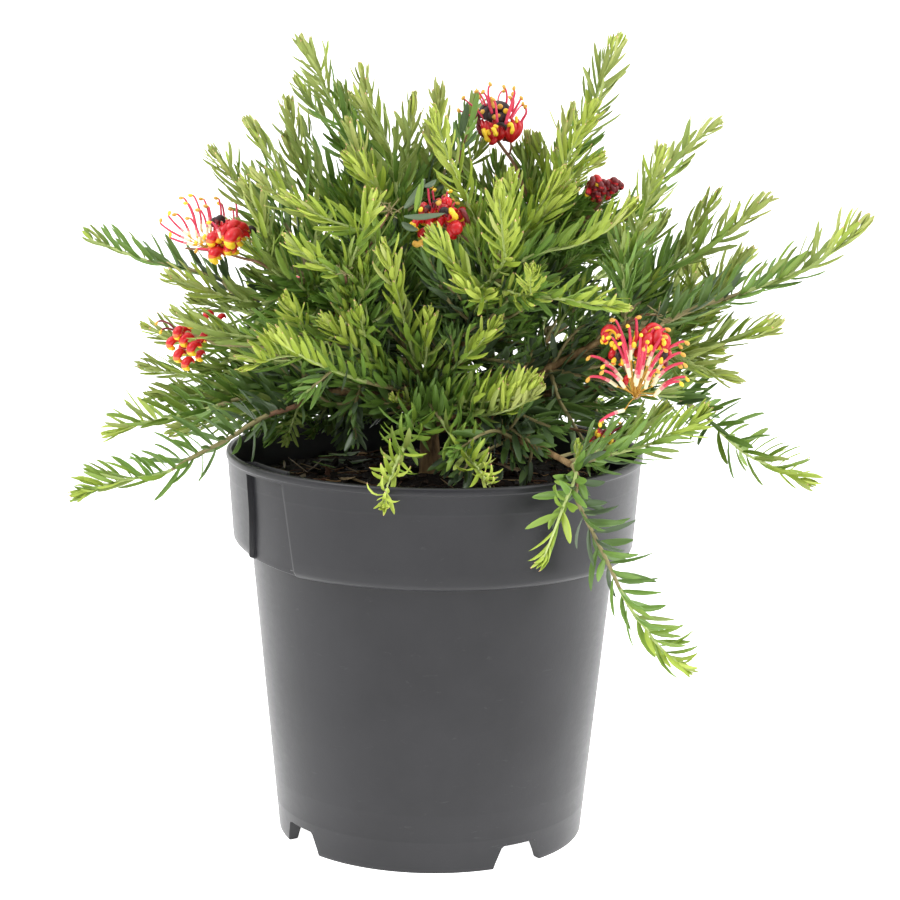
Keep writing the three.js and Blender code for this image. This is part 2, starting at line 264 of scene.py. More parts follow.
def plain(name, rgb, rough, spec=0.5, bump=(900.0, 0.12, 0.0002), **more):
    """One plain base colour, with a fine relief of its own."""
    m, t, b = new_material(name)
    b.inputs["Base Color"].default_value = linear(rgb)
    b.inputs["Roughness"].default_value = rough
    b.inputs["Specular IOR Level"].default_value = spec
    for k, v in more.items():
        b.inputs[k.replace("_", " ")].default_value = v
    if bump:
        scale, strength, dist = bump
        pos = t.nodes.new("ShaderNodeTexCoord")
        noise = t.nodes.new("ShaderNodeTexNoise")
        noise.inputs["Scale"].default_value = scale
        noise.inputs["Detail"].default_value = 3
        relief = t.nodes.new("ShaderNodeBump")
        relief.inputs["Strength"].default_value = strength
        relief.inputs["Distance"].default_value = dist
        t.links.new(pos.outputs["Object"], noise.inputs["Vector"])
        t.links.new(noise.outputs["Fac"], relief.inputs["Height"])
        t.links.new(relief.outputs["Normal"], b.inputs["Normal"])
    m.diffuse_color = linear(rgb)
    return m


def mottled(name, stops, scale, rough, stretch=(1, 1, 1), detail=6, bump=(0.4, 0.0006), spec=0.4, rough2=None, distortion=0.0):
    """A noise over several near colours, with relief and gloss that follow it."""
    m, t, b = new_material(name)
    pos = t.nodes.new("ShaderNodeTexCoord")
    mp = t.nodes.new("ShaderNodeMapping")
    mp.inputs["Scale"].default_value = stretch
    noise = t.nodes.new("ShaderNodeTexNoise")
    noise.inputs["Scale"].default_value = scale
    noise.inputs["Detail"].default_value = detail
    noise.inputs["Roughness"].default_value = 0.62
    noise.inputs["Distortion"].default_value = distortion
    ramp = t.nodes.new("ShaderNodeValToRGB")
    els = ramp.color_ramp.elements
    while len(els) < len(stops):
        els.new(0.5)
    for e, (at, rgb) in zip(els, stops):
        e.position = at
        e.color = linear(rgb)
    t.links.new(pos.outputs["Object"], mp.inputs["Vector"])
    t.links.new(mp.outputs["Vector"], noise.inputs["Vector"])
    t.links.new(noise.outputs["Fac"], ramp.inputs["Fac"])
    t.links.new(ramp.outputs["Color"], b.inputs["Base Color"])
    b.inputs["Specular IOR Level"].default_value = spec
    if rough2 is None:
        b.inputs["Roughness"].default_value = rough
    else:
        rr = t.nodes.new("ShaderNodeMapRange")
        rr.inputs["To Min"].default_value = rough
        rr.inputs["To Max"].default_value = rough2
        t.links.new(noise.outputs["Fac"], rr.inputs["Value"])
        t.links.new(rr.outputs["Result"], b.inputs["Roughness"])
    relief = t.nodes.new("ShaderNodeBump")
    relief.inputs["Strength"].default_value = bump[0]
    relief.inputs["Distance"].default_value = bump[1]
    t.links.new(noise.outputs["Fac"], relief.inputs["Height"])
    t.links.new(relief.outputs["Normal"], b.inputs["Normal"])
    return m


# Leaves: one plain colour for each age, dealt out by spray, and pinkish points on the youngest.
LEAF_CLASSES = [
    ("tip", (172, 187, 80), 0.50),
    ("young", (151, 171, 62), 0.47),
    ("fresh", (120, 147, 54), 0.45),
    ("green", (106, 139, 58), 0.43),
    ("deep", (91, 120, 57), 0.42),
    ("dark", (70, 92, 54), 0.40),
    ("old", (80, 97, 70), 0.46),
    ("straw", (112, 94, 64), 0.62),
    ("tip_pale", (172, 180, 102), 0.52),
    ("young_pale", (150, 164, 84), 0.50),
    ("fresh_pale", (128, 146, 70), 0.47),
]
LEAF_MATS = [
    plain("leaf_" + n, rgb, rough, 0.42, (700.0, 0.25, 0.00025)) for n, rgb, rough in LEAF_CLASSES
]
PINK = plain("leaf_point_pink", (216, 176, 132), 0.55, 0.4, None)
STEM_MATS = [
    plain("stem_green", (166, 180, 112), 0.6, 0.35, (1400.0, 0.3, 0.0002)),
    plain("stem_tan", (142, 132, 92), 0.65, 0.3, (1200.0, 0.35, 0.0003)),
    plain("stem_red", (134, 100, 76), 0.6, 0.35, (1000.0, 0.4, 0.0003)),
    mottled("stem_brown", [(0.3, (70, 52, 40)), (0.5, (104, 80, 60)), (0.72, (138, 112, 86))], 420, 0.75, (1, 1, 0.4)),
]
BARK = mottled(
    "bark",
    [(0.28, (70, 54, 38)), (0.45, (116, 92, 62)), (0.6, (142, 116, 80)), (0.78, (172, 148, 112))],
    300,
    0.82,
    (1, 1, 0.22),
    8,
    (0.8, 0.0012),
    0.25,
    0.7,
)


# ------------------------------------------------------------------ trunk and boughs (as the frame has them)
def bezier(a, b, c, n=40):
    a, b, c = (np.asarray(x, float) for x in (a, b, c))
    t = np.linspace(0, 1, n)[:, None]
    return (1 - t) ** 2 * a + 2 * t * (1 - t) * b + t**2 * c


TRUNK = bezier((-0.2, 0.1, 16.4), (-0.25, 0.0, 18.6), (-0.6, -0.8, 20.7), 60)
FOOT_R, MID_R, TOP_R = 0.66, 0.45, 0.39


def trunk_radius(t):
    t = np.asarray(t, float)
    low = MID_R + (FOOT_R - MID_R) * np.clip(1 - t / 0.3, 0, 1) ** 1.7
    high = MID_R + (TOP_R - MID_R) * (t - 0.3) / 0.7
    return np.where(t < 0.3, low, high)


BOUGHS = {
    "left_low": (0.76, (-6.2, -0.8, 20.4), 0.5, (0.23, 0.13)),
    "left_front": (0.9, (-4.0, -4.2, 25.5), -0.4, (0.22, 0.11)),
    "left_high": (0.98, (-5.8, -0.4, 25.8), -0.5, (0.24, 0.12)),
    "top_left": (1.0, (-2.7, 0.9, 28.0), -0.4, (0.25, 0.12)),
    "centre": (0.92, (2.4, -3.4, 26.2), -0.3, (0.24, 0.12)),
    "top_right": (0.98, (5.0, 1.2, 28.0), -0.5, (0.25, 0.12)),
    "right": (0.84, (8.4, -2.2, 24.1), -0.5, (0.24, 0.13)),
    "right_low": (0.68, (9.2, 0.4, 20.8), 0.4, (0.23, 0.13)),
    "front_right": (0.6, (5.9, -7.4, 18.65), 0.5, (0.20, 0.13)),
    "back_left": (0.74, (-5.2, 5.8, 23.6), -0.3, (0.23, 0.12)),
    "back": (0.92, (0.6, 6.6, 24.4), -0.3, (0.23, 0.12)),
    "back_right": (0.8, (6.4, 5.6, 23.2), -0.3, (0.23, 0.12)),
}
LIMBS = {}
for _name, (_at, _end, _bow, _r) in BOUGHS.items():
    _i = int(round(_at * (len(TRUNK) - 1)))
    _from, _end = TRUNK[_i], np.array(_end)
    _out = _end - _from
    if _at < 1:
        _out[2] = 0
        _out = unit(_out) * (float(trunk_radius(_at)) + 0.04)
    else:
        _out = unit(_out) * TOP_R
    _c = bowed(_from + _out, _end, _bow, 30)
    _line = spline(np.vstack([_from, _c[1:]]), 0.1)
    LIMBS[_name] = (_line, np.linspace(_r[0] * 1.12, _r[1], len(_line)))


def bark_wobble(seed, deep):
    g = np.random.default_rng(seed)
    ph = g.uniform(0, 6.28, 8)

    def f(i, a):
        return (
            1
            + deep * 0.5 * np.sin(3 * a + ph[0] + 0.05 * i)
            + deep * 0.35 * np.sin(7 * a + ph[1] + 0.23 * np.sin(0.21 * i + ph[2]) * 3)
            + deep * 0.30 * np.sin(13 * a + ph[3] - 0.11 * i) * np.sin(0.16 * i + ph[4])
            + deep * 0.5 * np.sin(0.13 * i + ph[5]) * np.sin(0.37 * i + ph[6])
        )

    return f


wood = Pile()
_line = spline(np.vstack([TRUNK[0] - [0, 0, 0.35], TRUNK[::4], TRUNK[-1]]), 0.06)
_t = np.clip((_line[:, 2] - 16.4) / 4.3, 0, 1)
_r = trunk_radius(_t) * np.where(_line[:, 2] < 16.45, 1.06, 1.0)
_r[-8:] *= np.linspace(1, 0.72, 8)
wood.add(*tube(_line, _r, 30, True, bark_wobble(3, 0.075)))
for _k, (_name, (_line, _rr)) in enumerate(LIMBS.items()):
    fine = spline(_line[::5] if len(_line) > 12 else _line, 0.09)
    rad = np.interp(np.linspace(0, 1, len(fine)), np.linspace(0, 1, len(_rr)), _rr)
    bump = 1 + 0.16 * np.exp(-(((np.arange(len(fine)) * 0.09) % 1.7 - 0.85) ** 2) / 0.02)
    wood.add(*tube(fine, rad * bump, 14, True, bark_wobble(40 + _k, 0.06)))


# ------------------------------------------------------------------ leaves
ROWS = {
    "narrow": ([0, 0.10, 0.26, 0.52, 0.78, 0.93], [0.34, 0.62, 0.92, 1.0, 0.88, 0.48]),
    "broad": ([0, 0.12, 0.30, 0.52, 0.76, 0.92], [0.26, 0.64, 0.95, 1.0, 0.76, 0.38]),
}
ACROSS = np.array([-1.0, -0.54, 0.0, 0.54, 1.0])
GUTTER = np.array([-0.42, 0.10, -0.26, 0.10, -0.42])
FIELDS = {n: [] for n in "P T N L W K side twist cls pink form depth".split()}


def leaf_faces():
    r, c = 6, 5
    quads = [
        (i * c + j, i * c + j + 1, (i + 1) * c + j + 1, (i + 1) * c + j)
        for i in range(r - 1)
        for j in range(c - 1)
    ]
    tris = [((r - 1) * c + j, (r - 1) * c + j + 1, r * c) for j in range(c - 1)]
    return np.array(quads), np.array(tris)


QUADS, TRIS = leaf_faces()
LEAF_VERTS = 31


def leaf_block(P, T, N, L, W, K, side, twist, form, depth):
    """Blades that leave P along T, bend by K towards N: (leaves, 31, 3)."""
    rows, width = (np.array(x) for x in ROWS[form])
    t = np.append(rows, 1.0)
    n = len(P)
    S = np.cross(T, N)
    k = np.where(np.abs(K) < 1e-3, 1e-3, K)[:, None]
    x = np.sin(k * t) / k
    y = (1 - np.cos(k * t)) / k
    th = k * t
    mid = P[:, None] + L[:, None, None] * (
        x[..., None] * T[:, None] + y[..., None] * N[:, None]
    )
    mid = mid + (L * side)[:, None, None] * (t**2)[None, :, None] * S[:, None]
    nn = -np.sin(th)[..., None] * T[:, None] + np.cos(th)[..., None] * N[:, None]
    a = twist[:, None] * t[None]
    s2 = np.cos(a)[..., None] * S[:, None] + np.sin(a)[..., None] * nn
    n2 = -np.sin(a)[..., None] * S[:, None] + np.cos(a)[..., None] * nn
    half = W[:, None, None] / 2 * width[None, :, None]
    body = (
        mid[:, :-1, None]
        + (half * ACROSS[None, None])[..., None] * s2[:, :-1, None]
        + (half * (GUTTER[None, None] * depth[:, None, None]))[..., None] * n2[:, :-1, None]
    )
    return np.concatenate([body.reshape(n, 30, 3), mid[:, -1:]], 1)


def by_age(x, g):
    """A leaf's class from how far (cm) it sits from a growing tip."""
    x = x + g.normal(0, 0.65, np.shape(x))
    return np.digitize(x, [0.6, 2.4, 4.5, 6.8, 9.6])


KINDS = {
    # comb: how far the blades of a level shoot turn up; gap: spacing; roll: how freely they turn
    "plain": dict(comb=0.20, angle=0.92, gap=1.0, L=1.66, W=0.29, K=0.40, roll=0.42),
    "side": dict(comb=0.30, angle=1.05, gap=0.86, L=1.70, W=0.28, K=0.42, roll=0.45),
    "comb": dict(comb=0.80, angle=1.0, gap=0.78, L=1.62, W=0.27, K=0.32, roll=0.5),
    "sparse": dict(comb=0.6, angle=1.05, gap=1.05, L=1.65, W=0.29, K=0.3, roll=0.5),
    "full": dict(comb=0.15, angle=1.08, gap=0.82, L=1.6, W=0.27, K=0.45, roll=0.42),
    "dark": dict(comb=0.30, angle=1.05, gap=0.95, L=1.70, W=0.31, K=0.3, roll=0.5),
    "hang": dict(comb=0.50, angle=1.22, gap=0.95, L=1.80, W=0.36, K=0.55, roll=0.4),
    "droop": dict(comb=0.30, angle=1.4, gap=0.68, L=1.42, W=0.28, K=0.8, roll=0.4),
    "stand": dict(comb=0.62, angle=1.24, gap=0.80, L=1.80, W=0.29, K=0.45, roll=0.42),
    "plume": dict(comb=0.15, angle=1.12, gap=0.68, L=1.75, W=0.26, K=0.42, roll=0.45),
    "old": dict(comb=0.1, angle=1.25, gap=1.3, L=1.7, W=0.50, K=0.15, roll=0.6),
    "rosette": dict(comb=0.1, angle=1.4, gap=0.62, L=1.15, W=0.22, K=0.5, roll=0.4),
    "bud": dict(comb=0.2, angle=1.2, gap=0.9, L=1.1, W=0.2, K=0.3, roll=0.4),
    "fill": dict(comb=0.2, angle=1.15, gap=1.14, L=1.65, W=0.33, K=0.22, roll=0.6),
}
twigs = Pile()
LEAF_N = 0


# where sky shows through the crown from the front: middle and half size of each gap on a 900 px
# picture; most of the leaves that would close it are left out
VIEW = np.array(Matrix.Rotation(math.pi / 2 - 0.186, 3, "X") @ Matrix.Rotation(0.014, 3, "Z"))
SKY = np.array([
    (594, 273, 18, 16), (552, 331, 18, 16), (687, 381, 24, 11), (327, 143, 15, 24), (399, 122, 10, 13),
    (256, 349, 16, 8), (663, 219, 8, 10), (248, 165, 7, 9), (297, 275, 9, 22),
], float)


def against_sky(P, g):
    q = (P - np.array([0.658, -111.7, 38.87])) @ VIEW
    x, y = 450 - 2476 * q[:, 0] / q[:, 2], 450 + 2476 * q[:, 1] / q[:, 2]
    d = ((x[:, None] - SKY[:, 0]) / SKY[:, 2]) ** 2 + ((y[:, None] - SKY[:, 1]) / SKY[:, 3]) ** 2
    return (d < 1).any(1) & (g.random(len(P)) < 0.88)


def leaf_shoot(path, age, kind, seed, bare=0.3, r_tip=0.038, r_max=0.125, twig=True, size=1.0, old=0.0, pale=False, sky=True):
    """A stem along path (cm, steps of 0.1) with its spiral of leaves, youngest at the tip."""
    global LEAF_N
    k = KINDS[kind]
    g = np.random.default_rng(seed)
    total = length_of(path)
    n = len(path)
    s = np.linspace(0, total, n)
    d = total - s
    tan = tangents(path)
    if twig:
        rad = np.minimum(r_tip + 0.0095 * np.maximum(d + 0.3 * age, 0), r_max)
        step = 3
        keep = np.unique(np.append(np.arange(0, n, step), n - 1))
        v, f = tube(path[keep], rad[keep], 6, True)
        band = np.digitize(d[keep][:-1] + age * 0.8, [5.5, 10.5, 14.0])
        twigs.add(v, f, [np.repeat(band, 6), 0])
    # parallel frames
    u = np.zeros_like(path)
    u[0] = across(tan[0])
    for i in range(1, n):
        x = u[i - 1] - np.dot(u[i - 1], tan[i]) * tan[i]
        u[i] = x / max(np.linalg.norm(x), 1e-9)
    w = np.cross(tan, u)
    # places, from the tip down
    at, x = [], 0.03
    while x < total - bare:
        at.append(x)
        gap = 0.032 + 0.155 * (1 - math.exp(-x / 1.1))
        x += gap * k["gap"] * g.uniform(0.8, 1.2)
    at = np.array(at)
    if not len(at):
        return
    m = len(at)
    q = total - at
    P = np.stack([np.interp(q, s, path[:, c]) for c in range(3)], 1)
    A = unit(np.stack([np.interp(q, s, tan[:, c]) for c in range(3)], 1))
    U = unit(np.stack([np.interp(q, s, u[:, c]) for c in range(3)], 1))
    V = unit(np.stack([np.interp(q, s, w[:, c]) for c in range(3)], 1))
    phi = np.arange(m) * GOLDEN + g.uniform(0, 6.28) + g.normal(0, 0.22, m)
    R = np.cos(phi)[:, None] * U + np.sin(phi)[:, None] * V
    alpha = np.radians(
        (10 + 18 * (1 - np.exp(-at / 0.5)) + 14 * (1 - np.exp(-at / 3.0)) + 0.9 * np.minimum(at, 9)) * k["angle"]
        + g.normal(0, 5.5, m)
    )
    level = np.sqrt(np.clip(1 - A[:, 2:] ** 2, 0, 1))
    comb = k["comb"] * level * np.clip(at / 1.5, 0.15, 1)[:, None]
    up = np.array([0.0, 0.0, 1.0])
    if kind == "hang":
        # most blades of a hanging stem rise from its upper side
        comb = 0.30 * np.clip(at / 1.5, 0.15, 1)[:, None]
        up = unit(up - A * A[:, 2:])
    T = unit(np.cos(alpha)[:, None] * A + np.sin(alpha)[:, None] * R + comb * up)
    ref = np.sin(alpha)[:, None] * A - np.cos(alpha)[:, None] * R + 0.25 * level * up
    if kind in ("hang", "droop"):
        # blades on a stem that hangs turn their faces up to the light
        ref = 0.35 * ref + up
    N = across(T, ref)
    roll = g.normal(0, k["roll"], m)[:, None]
    N = np.cos(roll) * N + np.sin(roll) * np.cross(T, N)
    grow = 1 - np.exp(-at / 0.8)
    L = k["L"] * size * (0.30 + 0.70 * grow) * g.normal(1, 0.1, m).clip(0.7, 1.3)
    L *= np.where(at > total - 1.6, 0.8, 1.0)
    W = k["W"] * (0.48 + 0.52 * (1 - np.exp(-at / 2.4))) * g.normal(1, 0.1, m).clip(0.75, 1.3) * (0.5 + 0.5 * size)
    K = k["K"] * g.normal(1, 0.45, m) * np.where(at < 0.8, 1.3, 1.0)
    cls = by_age(at + age, g)
    if old > 0:
        swap = (g.random(m) < old) & (cls >= 4)
        cls = np.where(swap, 6, cls)
    if pale:
        cls = np.where((cls < 3) & (g.random(m) < 0.8), cls + 8, cls)
    else:
        cls = np.where((cls < 3) & (g.random(m) < 0.12), cls + 8, cls)
    pink = ((at + age) < 1.9) & (g.random(m) < 0.6)
    F = FIELDS
    F["P"].append(P + R * (0.5 * np.minimum(r_tip + 0.0095 * at, r_max))[:, None])
    F["T"].append(T)
    F["N"].append(N)
    F["L"].append(L)
    F["W"].append(W)
    F["K"].append(K)
    F["side"].append(g.normal(0, 0.06, m))
    F["twist"].append(g.normal(0, 0.3, m))
    F["cls"].append(cls)
    F["pink"].append(pink)
    F["form"].append(np.full(m, 1 if kind in ("old", "hang", "fill", "droop") else 0))
    F["depth"].append(g.uniform(0.6, 1.25, m) * np.where(np.full(m, kind == "old"), 0.6, 1.0))
    if sky:
        stay = ~against_sky(P + T * (0.5 * L)[:, None], np.random.default_rng(seed + 70000))
        for key in F:
            F[key][-1] = F[key][-1][stay]
        m = int(stay.sum())
    LEAF_N += m


# Where the shoots seen from the front start and end (cm), how far the middle rides above or
# below the line between, how old the growth is (cm of growth, less is younger), and its habit.
SHOOTS = [
    ("S1", (-8.05, 1.00, 24.62), (-16.31, 2.00, 27.57), -0.3, 2.8, "sparse"),
    ("S2", (-7.9, -1.0, 24.6), (-12.3, -1.5, 25.9), -0.1, 0, "side"),
    ("S3", (-6.5, -3.0, 23.5), (-11.6, -4.5, 24.7), -0.5, 0.2, "side"),
    ("S4", (-8.4, 1.0, 22.4), (-13.6, 1.5, 23.2), -0.4, 0, "side"),
    ("S5", (-8.8, 3.0, 21.1), (-14.1, 4.0, 21.0), -0.4, 0.5, "side"),
    ("S7", (-7.97, 0.00, 20.33), (-15.25, 0.50, 18.23), -0.35, 0.3, "stand"),
    ("S8", (-6.8, 1.0, 19.9), (-12.5, 2.0, 18.1), 0, 0.5, "side"),
    ("S9", (-6.14, -1.50, 20.15), (-15.70, -6.00, 16.67), -0.5, 1.5, "stand"),
    ("L", (-5.9, -5.0, 22.9), (-8.2, -8.0, 22.6), 0.2, -1, "comb"),
    ("S10", (-6.9, 0.0, 26.4), (-10.30, 0.00, 31.50), 0.1, 0.2, "plume"),
    ("S11", (-5.7, -1.0, 28.2), (-8.5, -1.5, 32.9), 0, 0, "plain"),
    ("S12", (-4.7, 0.0, 28.8), (-6.9, 0.5, 33.8), -0.35, 0, "plain"),
    ("S13", (-3.3, 1.5, 30.3), (-6.40, 2.50, 36.40), 0, 0.2, "plume"),
    ("S14", (-3.7, 3.0, 30.4), (-6.8, 4.0, 34.5), 0, 0.3, "plain"),
    ("S15", (-2.2, 1.0, 30.8), (-3.6, 1.5, 35.2), -0.2, -0.3, "plain"),
    ("S15b", (-2.0, 0.0, 30.6), (-4.0, -1.0, 34.0), 0.4, 0, "plain"),
    ("S16", (-3.0, -1.5, 29.8), (-4.0, -2.5, 33.0), 0, -0.8, "plain"),
    ("S16b", (-2.6, -3.0, 30.0), (-4.1, -4.5, 31.6), 0, -0.8, "plain"),
    ("S17", (-5.4, -2.5, 28.6), (-8.0, -4.0, 30.8), -0.2, -0.8, "plain"),
    ("S18", (-2.7, -4.0, 28.2), (-6.5, -6.0, 29.9), -0.25, -0.6, "plain"),
    ("S19", (-3.9, -4.5, 26.4), (-2.6, -6.5, 30.2), 0, -0.5, "plain"),
    ("S20", (-4.0, -4.5, 26.4), (-6.5, -6.5, 28.2), -0.2, -0.5, "plain"),
    ("H", (-5.6, -4.0, 23.7), (-6.6, -6.5, 25.6), 0, -1, "plain"),
    ("TF", (-3.1, -5.0, 23.8), (-3.4, -6.5, 25.2), 0, 1, "plain"),
    ("M", (-1.6, 1.0, 29.6), (-1.2, 1.5, 34.0), 0, -0.3, "plain"),
    ("N", (0.0, 3.0, 31.3), (-0.2, 3.5, 34.3), 0, -0.3, "plain"),
    ("O", (2.3, -3.0, 27.4), (-0.3, -3.0, 33.6), -0.2, -2, "full"),
    ("PD", (0.97, 3.50, 31.37), (1.73, 4.50, 33.96), 0, 4, "dark"),
    ("Q", (2.9, -5.5, 27.3), (2.5, -7.5, 30.7), 0, -2.5, "full"),
    ("Q2", (3.2, -4.0, 28.4), (3.1, -5.0, 31.1), 0, -0.8, "plain"),
    ("J", (1.6, -5.5, 25.9), (-0.5, -7.0, 28.7), 0, -1, "plain"),
    ("K", (1.9, -6.0, 25.6), (0.7, -7.5, 26.6), 0, -1.5, "plain"),
    ("U", (4.1, 2.0, 29.9), (4.2, 2.0, 32.2), 0, 0, "plain"),
    ("V", (3.2, -3.0, 27.2), (5.4, -4.5, 31.1), 0, -0.6, "plain"),
    ("V2", (3.8, -3.0, 28.1), (5.9, -4.5, 30.3), 0, -0.8, "plain"),
    ("S", (4.3, -0.5, 28.3), (6.9, -1.5, 33.9), 0, -1.8, "full"),
    ("T", (4.9, -1.5, 29.5), (7.3, -3.0, 31.8), 0, -1.2, "full"),
    ("R", (6.1, 3.0, 30.7), (8.20, 4.00, 36.80), 0, -0.6, "plume"),
    ("PP", (4.0, -6.0, 25.8), (4.00, -8.00, 27.40), 0, -3.8, "rosette"),
    ("QQ", (4.4, -5.5, 25.7), (8.2, -8.0, 25.5), 0, 0.0, "side"),
    ("W", (4.7, -4.0, 27.5), (8.60, -5.50, 29.90), -0.5, -1, "comb"),
    ("W2", (8.3, -3.5, 24.9), (7.8, -4.5, 28.7), 0, 2.5, "dark"),
    ("II", (8.26, -3.00, 26.59), (9.69, -4.00, 32.07), 0.0, -0.4, "plume"),
    ("HH", (9.18, -1.50, 29.16), (12.54, 0.00, 32.97), 0.42, -0.4, "plain"),
    ("JJ", (9.75, -1.00, 26.16), (14.75, -1.00, 29.72), -0.25, -0.2, "stand"),
    ("KK", (9.43, -3.00, 24.03), (19.19, -2.00, 28.90), -0.5, -0.9, "stand"),
    ("LL", (12.2, 3.0, 24.3), (14.7, 4.0, 26.8), 0, 0, "plain"),
    ("MM", (10.9, 2.5, 24.1), (12.2, 3.5, 26.3), 0, -0.5, "plain"),
    ("MM2", (10.5, 2.0, 24.7), (11.5, 3.0, 26.3), 0, 0, "plain"),
    ("FF", (11.57, 0.50, 22.66), (15.65, 0.50, 23.92), -0.3, 0.0, "stand"),
    ("EE", (9.81, -1.50, 22.84), (13.62, -2.00, 21.56), 0, -0.4, "side"),
    ("EE2", (9.7, -1.0, 21.2), (12.7, -1.0, 21.75), 0, 3, "dark"),
    ("DD", (11.28, 1.50, 20.08), (17.69, 2.00, 16.06), -0.45, 0.2, "stand"),
    ("BB", (6.07, -7.50, 18.73), (11.59, -8.00, 21.33), -0.35, 1.2, "plume"),
    ("AA", (6.05, -8.00, 18.39), (4.52, -11.00, 15.05), 0, 1.0, "hang"),
    ("CC", (6.14, -8.00, 18.22), (11.04, -9.50, 10.09), -0.75, 1.4, "hang"),
    ("NT", (6.1, -7.5, 18.7), (6.1, -8.0, 19.9), 0, 0.5, "bud"),
    ("DK", (1.96, -3.50, 20.51), (4.89, -6.60, 18.98), 0, 8, "old"),
    ("DK2", (5.5, -3.0, 20.7), (7.3, -5.0, 18.0), 0, 6, "old"),
    ("A", (-0.6, -1.5, 20.8), (-2.3, -6.5, 28.1), 0, -2.2, "plain"),
    ("B", (-0.6, -1.5, 20.8), (-0.3, -5.0, 25.0), 0, 0, "plain"),
    ("C", (-0.6, -1.5, 20.8), (2.8, -6.0, 24.7), -0.15, -0.6, "plain"),
    ("D", (-0.55, -1.50, 20.69), (4.48, -8.00, 22.26), -0.9, -1.6, "comb"),
    ("E", (-0.6, -1.5, 20.8), (-7.1, -8.5, 24.3), -0.5, -1.0, "comb"),
    ("F", (-0.6, -1.5, 20.8), (-5.0, -6.0, 24.7), -0.2, -1, "plain"),
    ("G", (-0.6, -1.5, 20.8), (-4.2, -4.5, 25.8), -0.9, 0.3, "plain"),
    ("X", (-0.54, -2.00, 20.68), (-2.10, -10.50, 17.07), -0.2, -1.4, "droop"),
    ("Y", (-0.41, -2.00, 20.68), (2.55, -9.00, 17.68), 0, -0.2, "droop"),
    ("Z", (-0.9, -2.0, 20.4), (-2.1, -4.0, 20.8), 0, -0.5, "droop"),
    ("JJ2", (10.71, 0.00, 26.83), (12.60, 0.00, 29.93), 0.0, 0.0, "plain"),
    ("JJ3", (12.51, -1.00, 25.43), (14.02, -1.00, 27.35), 0.1, 0.2, "plain"),
    ("MM3", (12.44, 0.00, 25.31), (11.98, 0.00, 26.94), 0, 0.3, "plain"),
    ("MM4", (11.44, 0.00, 25.30), (11.07, 0.00, 26.88), 0, 0.3, "plain"),
    ("FF2", (10.12, -0.50, 22.69), (12.93, -0.50, 22.73), -0.1, 0.6, "side"),
    ("FF3", (9.94, 0.00, 22.25), (12.60, 0.50, 21.84), -0.2, 0.9, "side"),
    ("FF4", (10.37, 0.50, 23.01), (12.71, 0.50, 24.06), 0, 1.6, "dark"),
    ("S6", (-6.10, 1.50, 22.08), (-11.14, 1.50, 21.35), -0.3, 2.2, "side"),
    ("S6b", (-6.27, 0.50, 21.30), (-10.58, 0.50, 20.12), -0.3, 2.5, "dark"),
    ("S6c", (-6.20, -0.50, 20.53), (-9.76, -0.50, 19.19), -0.1, 2.6, "dark"),
    ("S6d", (-6.04, 0.50, 22.78), (-10.11, 0.50, 22.82), -0.3, 2.6, "dark"),
    ("S6e", (-6.15, -1.50, 22.16), (-9.20, -1.50, 22.48), -0.2, 2.4, "dark"),
    ("S7b", (-6.33, 1.50, 20.53), (-12.82, 1.50, 19.83), -0.3, 1.2, "side"),
    ("S12b", (-5.47, 0.50, 28.82), (-6.93, 0.50, 32.13), -0.1, 0.0, "plain"),
    ("S10b", (-7.55, -2.00, 26.53), (-8.74, -2.50, 30.23), 0.4, 0.0, "plain"),
    ("S17b", (-5.93, -1.50, 25.33), (-7.73, -2.00, 27.68), -0.1, 2.6, "dark"),
    ("S17c", (-6.21, -0.50, 24.75), (-8.65, -0.50, 26.07), -0.1, 3.2, "dark"),
    ("S17d", (-6.28, 0.50, 25.76), (-7.74, 0.50, 28.16), -0.1, 2.2, "dark"),
    ("PD2", (1.30, 1.50, 30.65), (2.13, 1.00, 32.14), 0, 0.6, "plain"),
    ("P3", (2.70, 2.00, 28.94), (2.48, 2.20, 31.43), 0, 3.4, "dark"),
    ("P4", (4.04, 1.00, 29.27), (3.54, 1.00, 31.71), 0.1, 3.0, "dark"),
    ("R3", (5.12, 1.00, 29.74), (5.99, 1.00, 33.63), 0, -1.2, "full"),
    ("R4", (4.23, 1.50, 29.69), (3.92, 2.00, 32.42), 0, 0.2, "plain"),
    ("R5", (4.83, 1.50, 29.70), (4.41, 1.50, 32.37), 0, 0.2, "plain"),
    ("R6", (6.12, -0.50, 28.76), (5.40, -0.20, 31.63), 0, 1.0, "plain"),
    ("HH2", (9.06, -1.00, 26.74), (10.25, -0.70, 28.90), 0.1, 1.4, "side"),
    ("KK2", (10.03, -1.00, 24.22), (13.01, -1.50, 25.14), -0.2, 1.8, "side"),
    ("I1", (7.97, -5.60, 19.36), (10.10, -5.60, 21.07), -0.2, 2.0, "side"),
    ("I2", (7.04, -5.20, 19.10), (8.94, -5.20, 20.10), -0.1, 3.0, "dark"),
    ("I3", (9.12, -2.50, 21.0), (11.34, -2.50, 21.55), -0.1, 3.2, "dark"),
    ("G1", (-0.55, -1.50, 20.41), (-3.11, -3.00, 20.67), -0.2, 6, "old"),
    ("G2", (-1.20, 0.00, 19.78), (-3.87, 0.50, 19.47), -0.2, 6, "old"),
    ("G3", (0.17, -1.20, 20.46), (1.51, -2.50, 21.15), -0.1, 5, "dark"),
    ("G4", (-1.64, -1.00, 20.68), (-4.78, -1.80, 21.68), -0.2, 4.6, "dark"),
    ("DK3", (2.66, -4.00, 20.79), (5.68, -6.00, 19.85), -0.1, 8, "old"),
    ("DK4", (2.41, -3.00, 20.52), (3.72, -5.60, 18.24), 0, 9, "old"),
    ("G5", (-1.70, 2.00, 19.90), (-6.92, 3.50, 18.91), -0.1, 6, "old"),
    ("G6", (-2.19, 3.00, 19.54), (-8.81, 3.50, 18.98), -0.1, 5, "dark"),
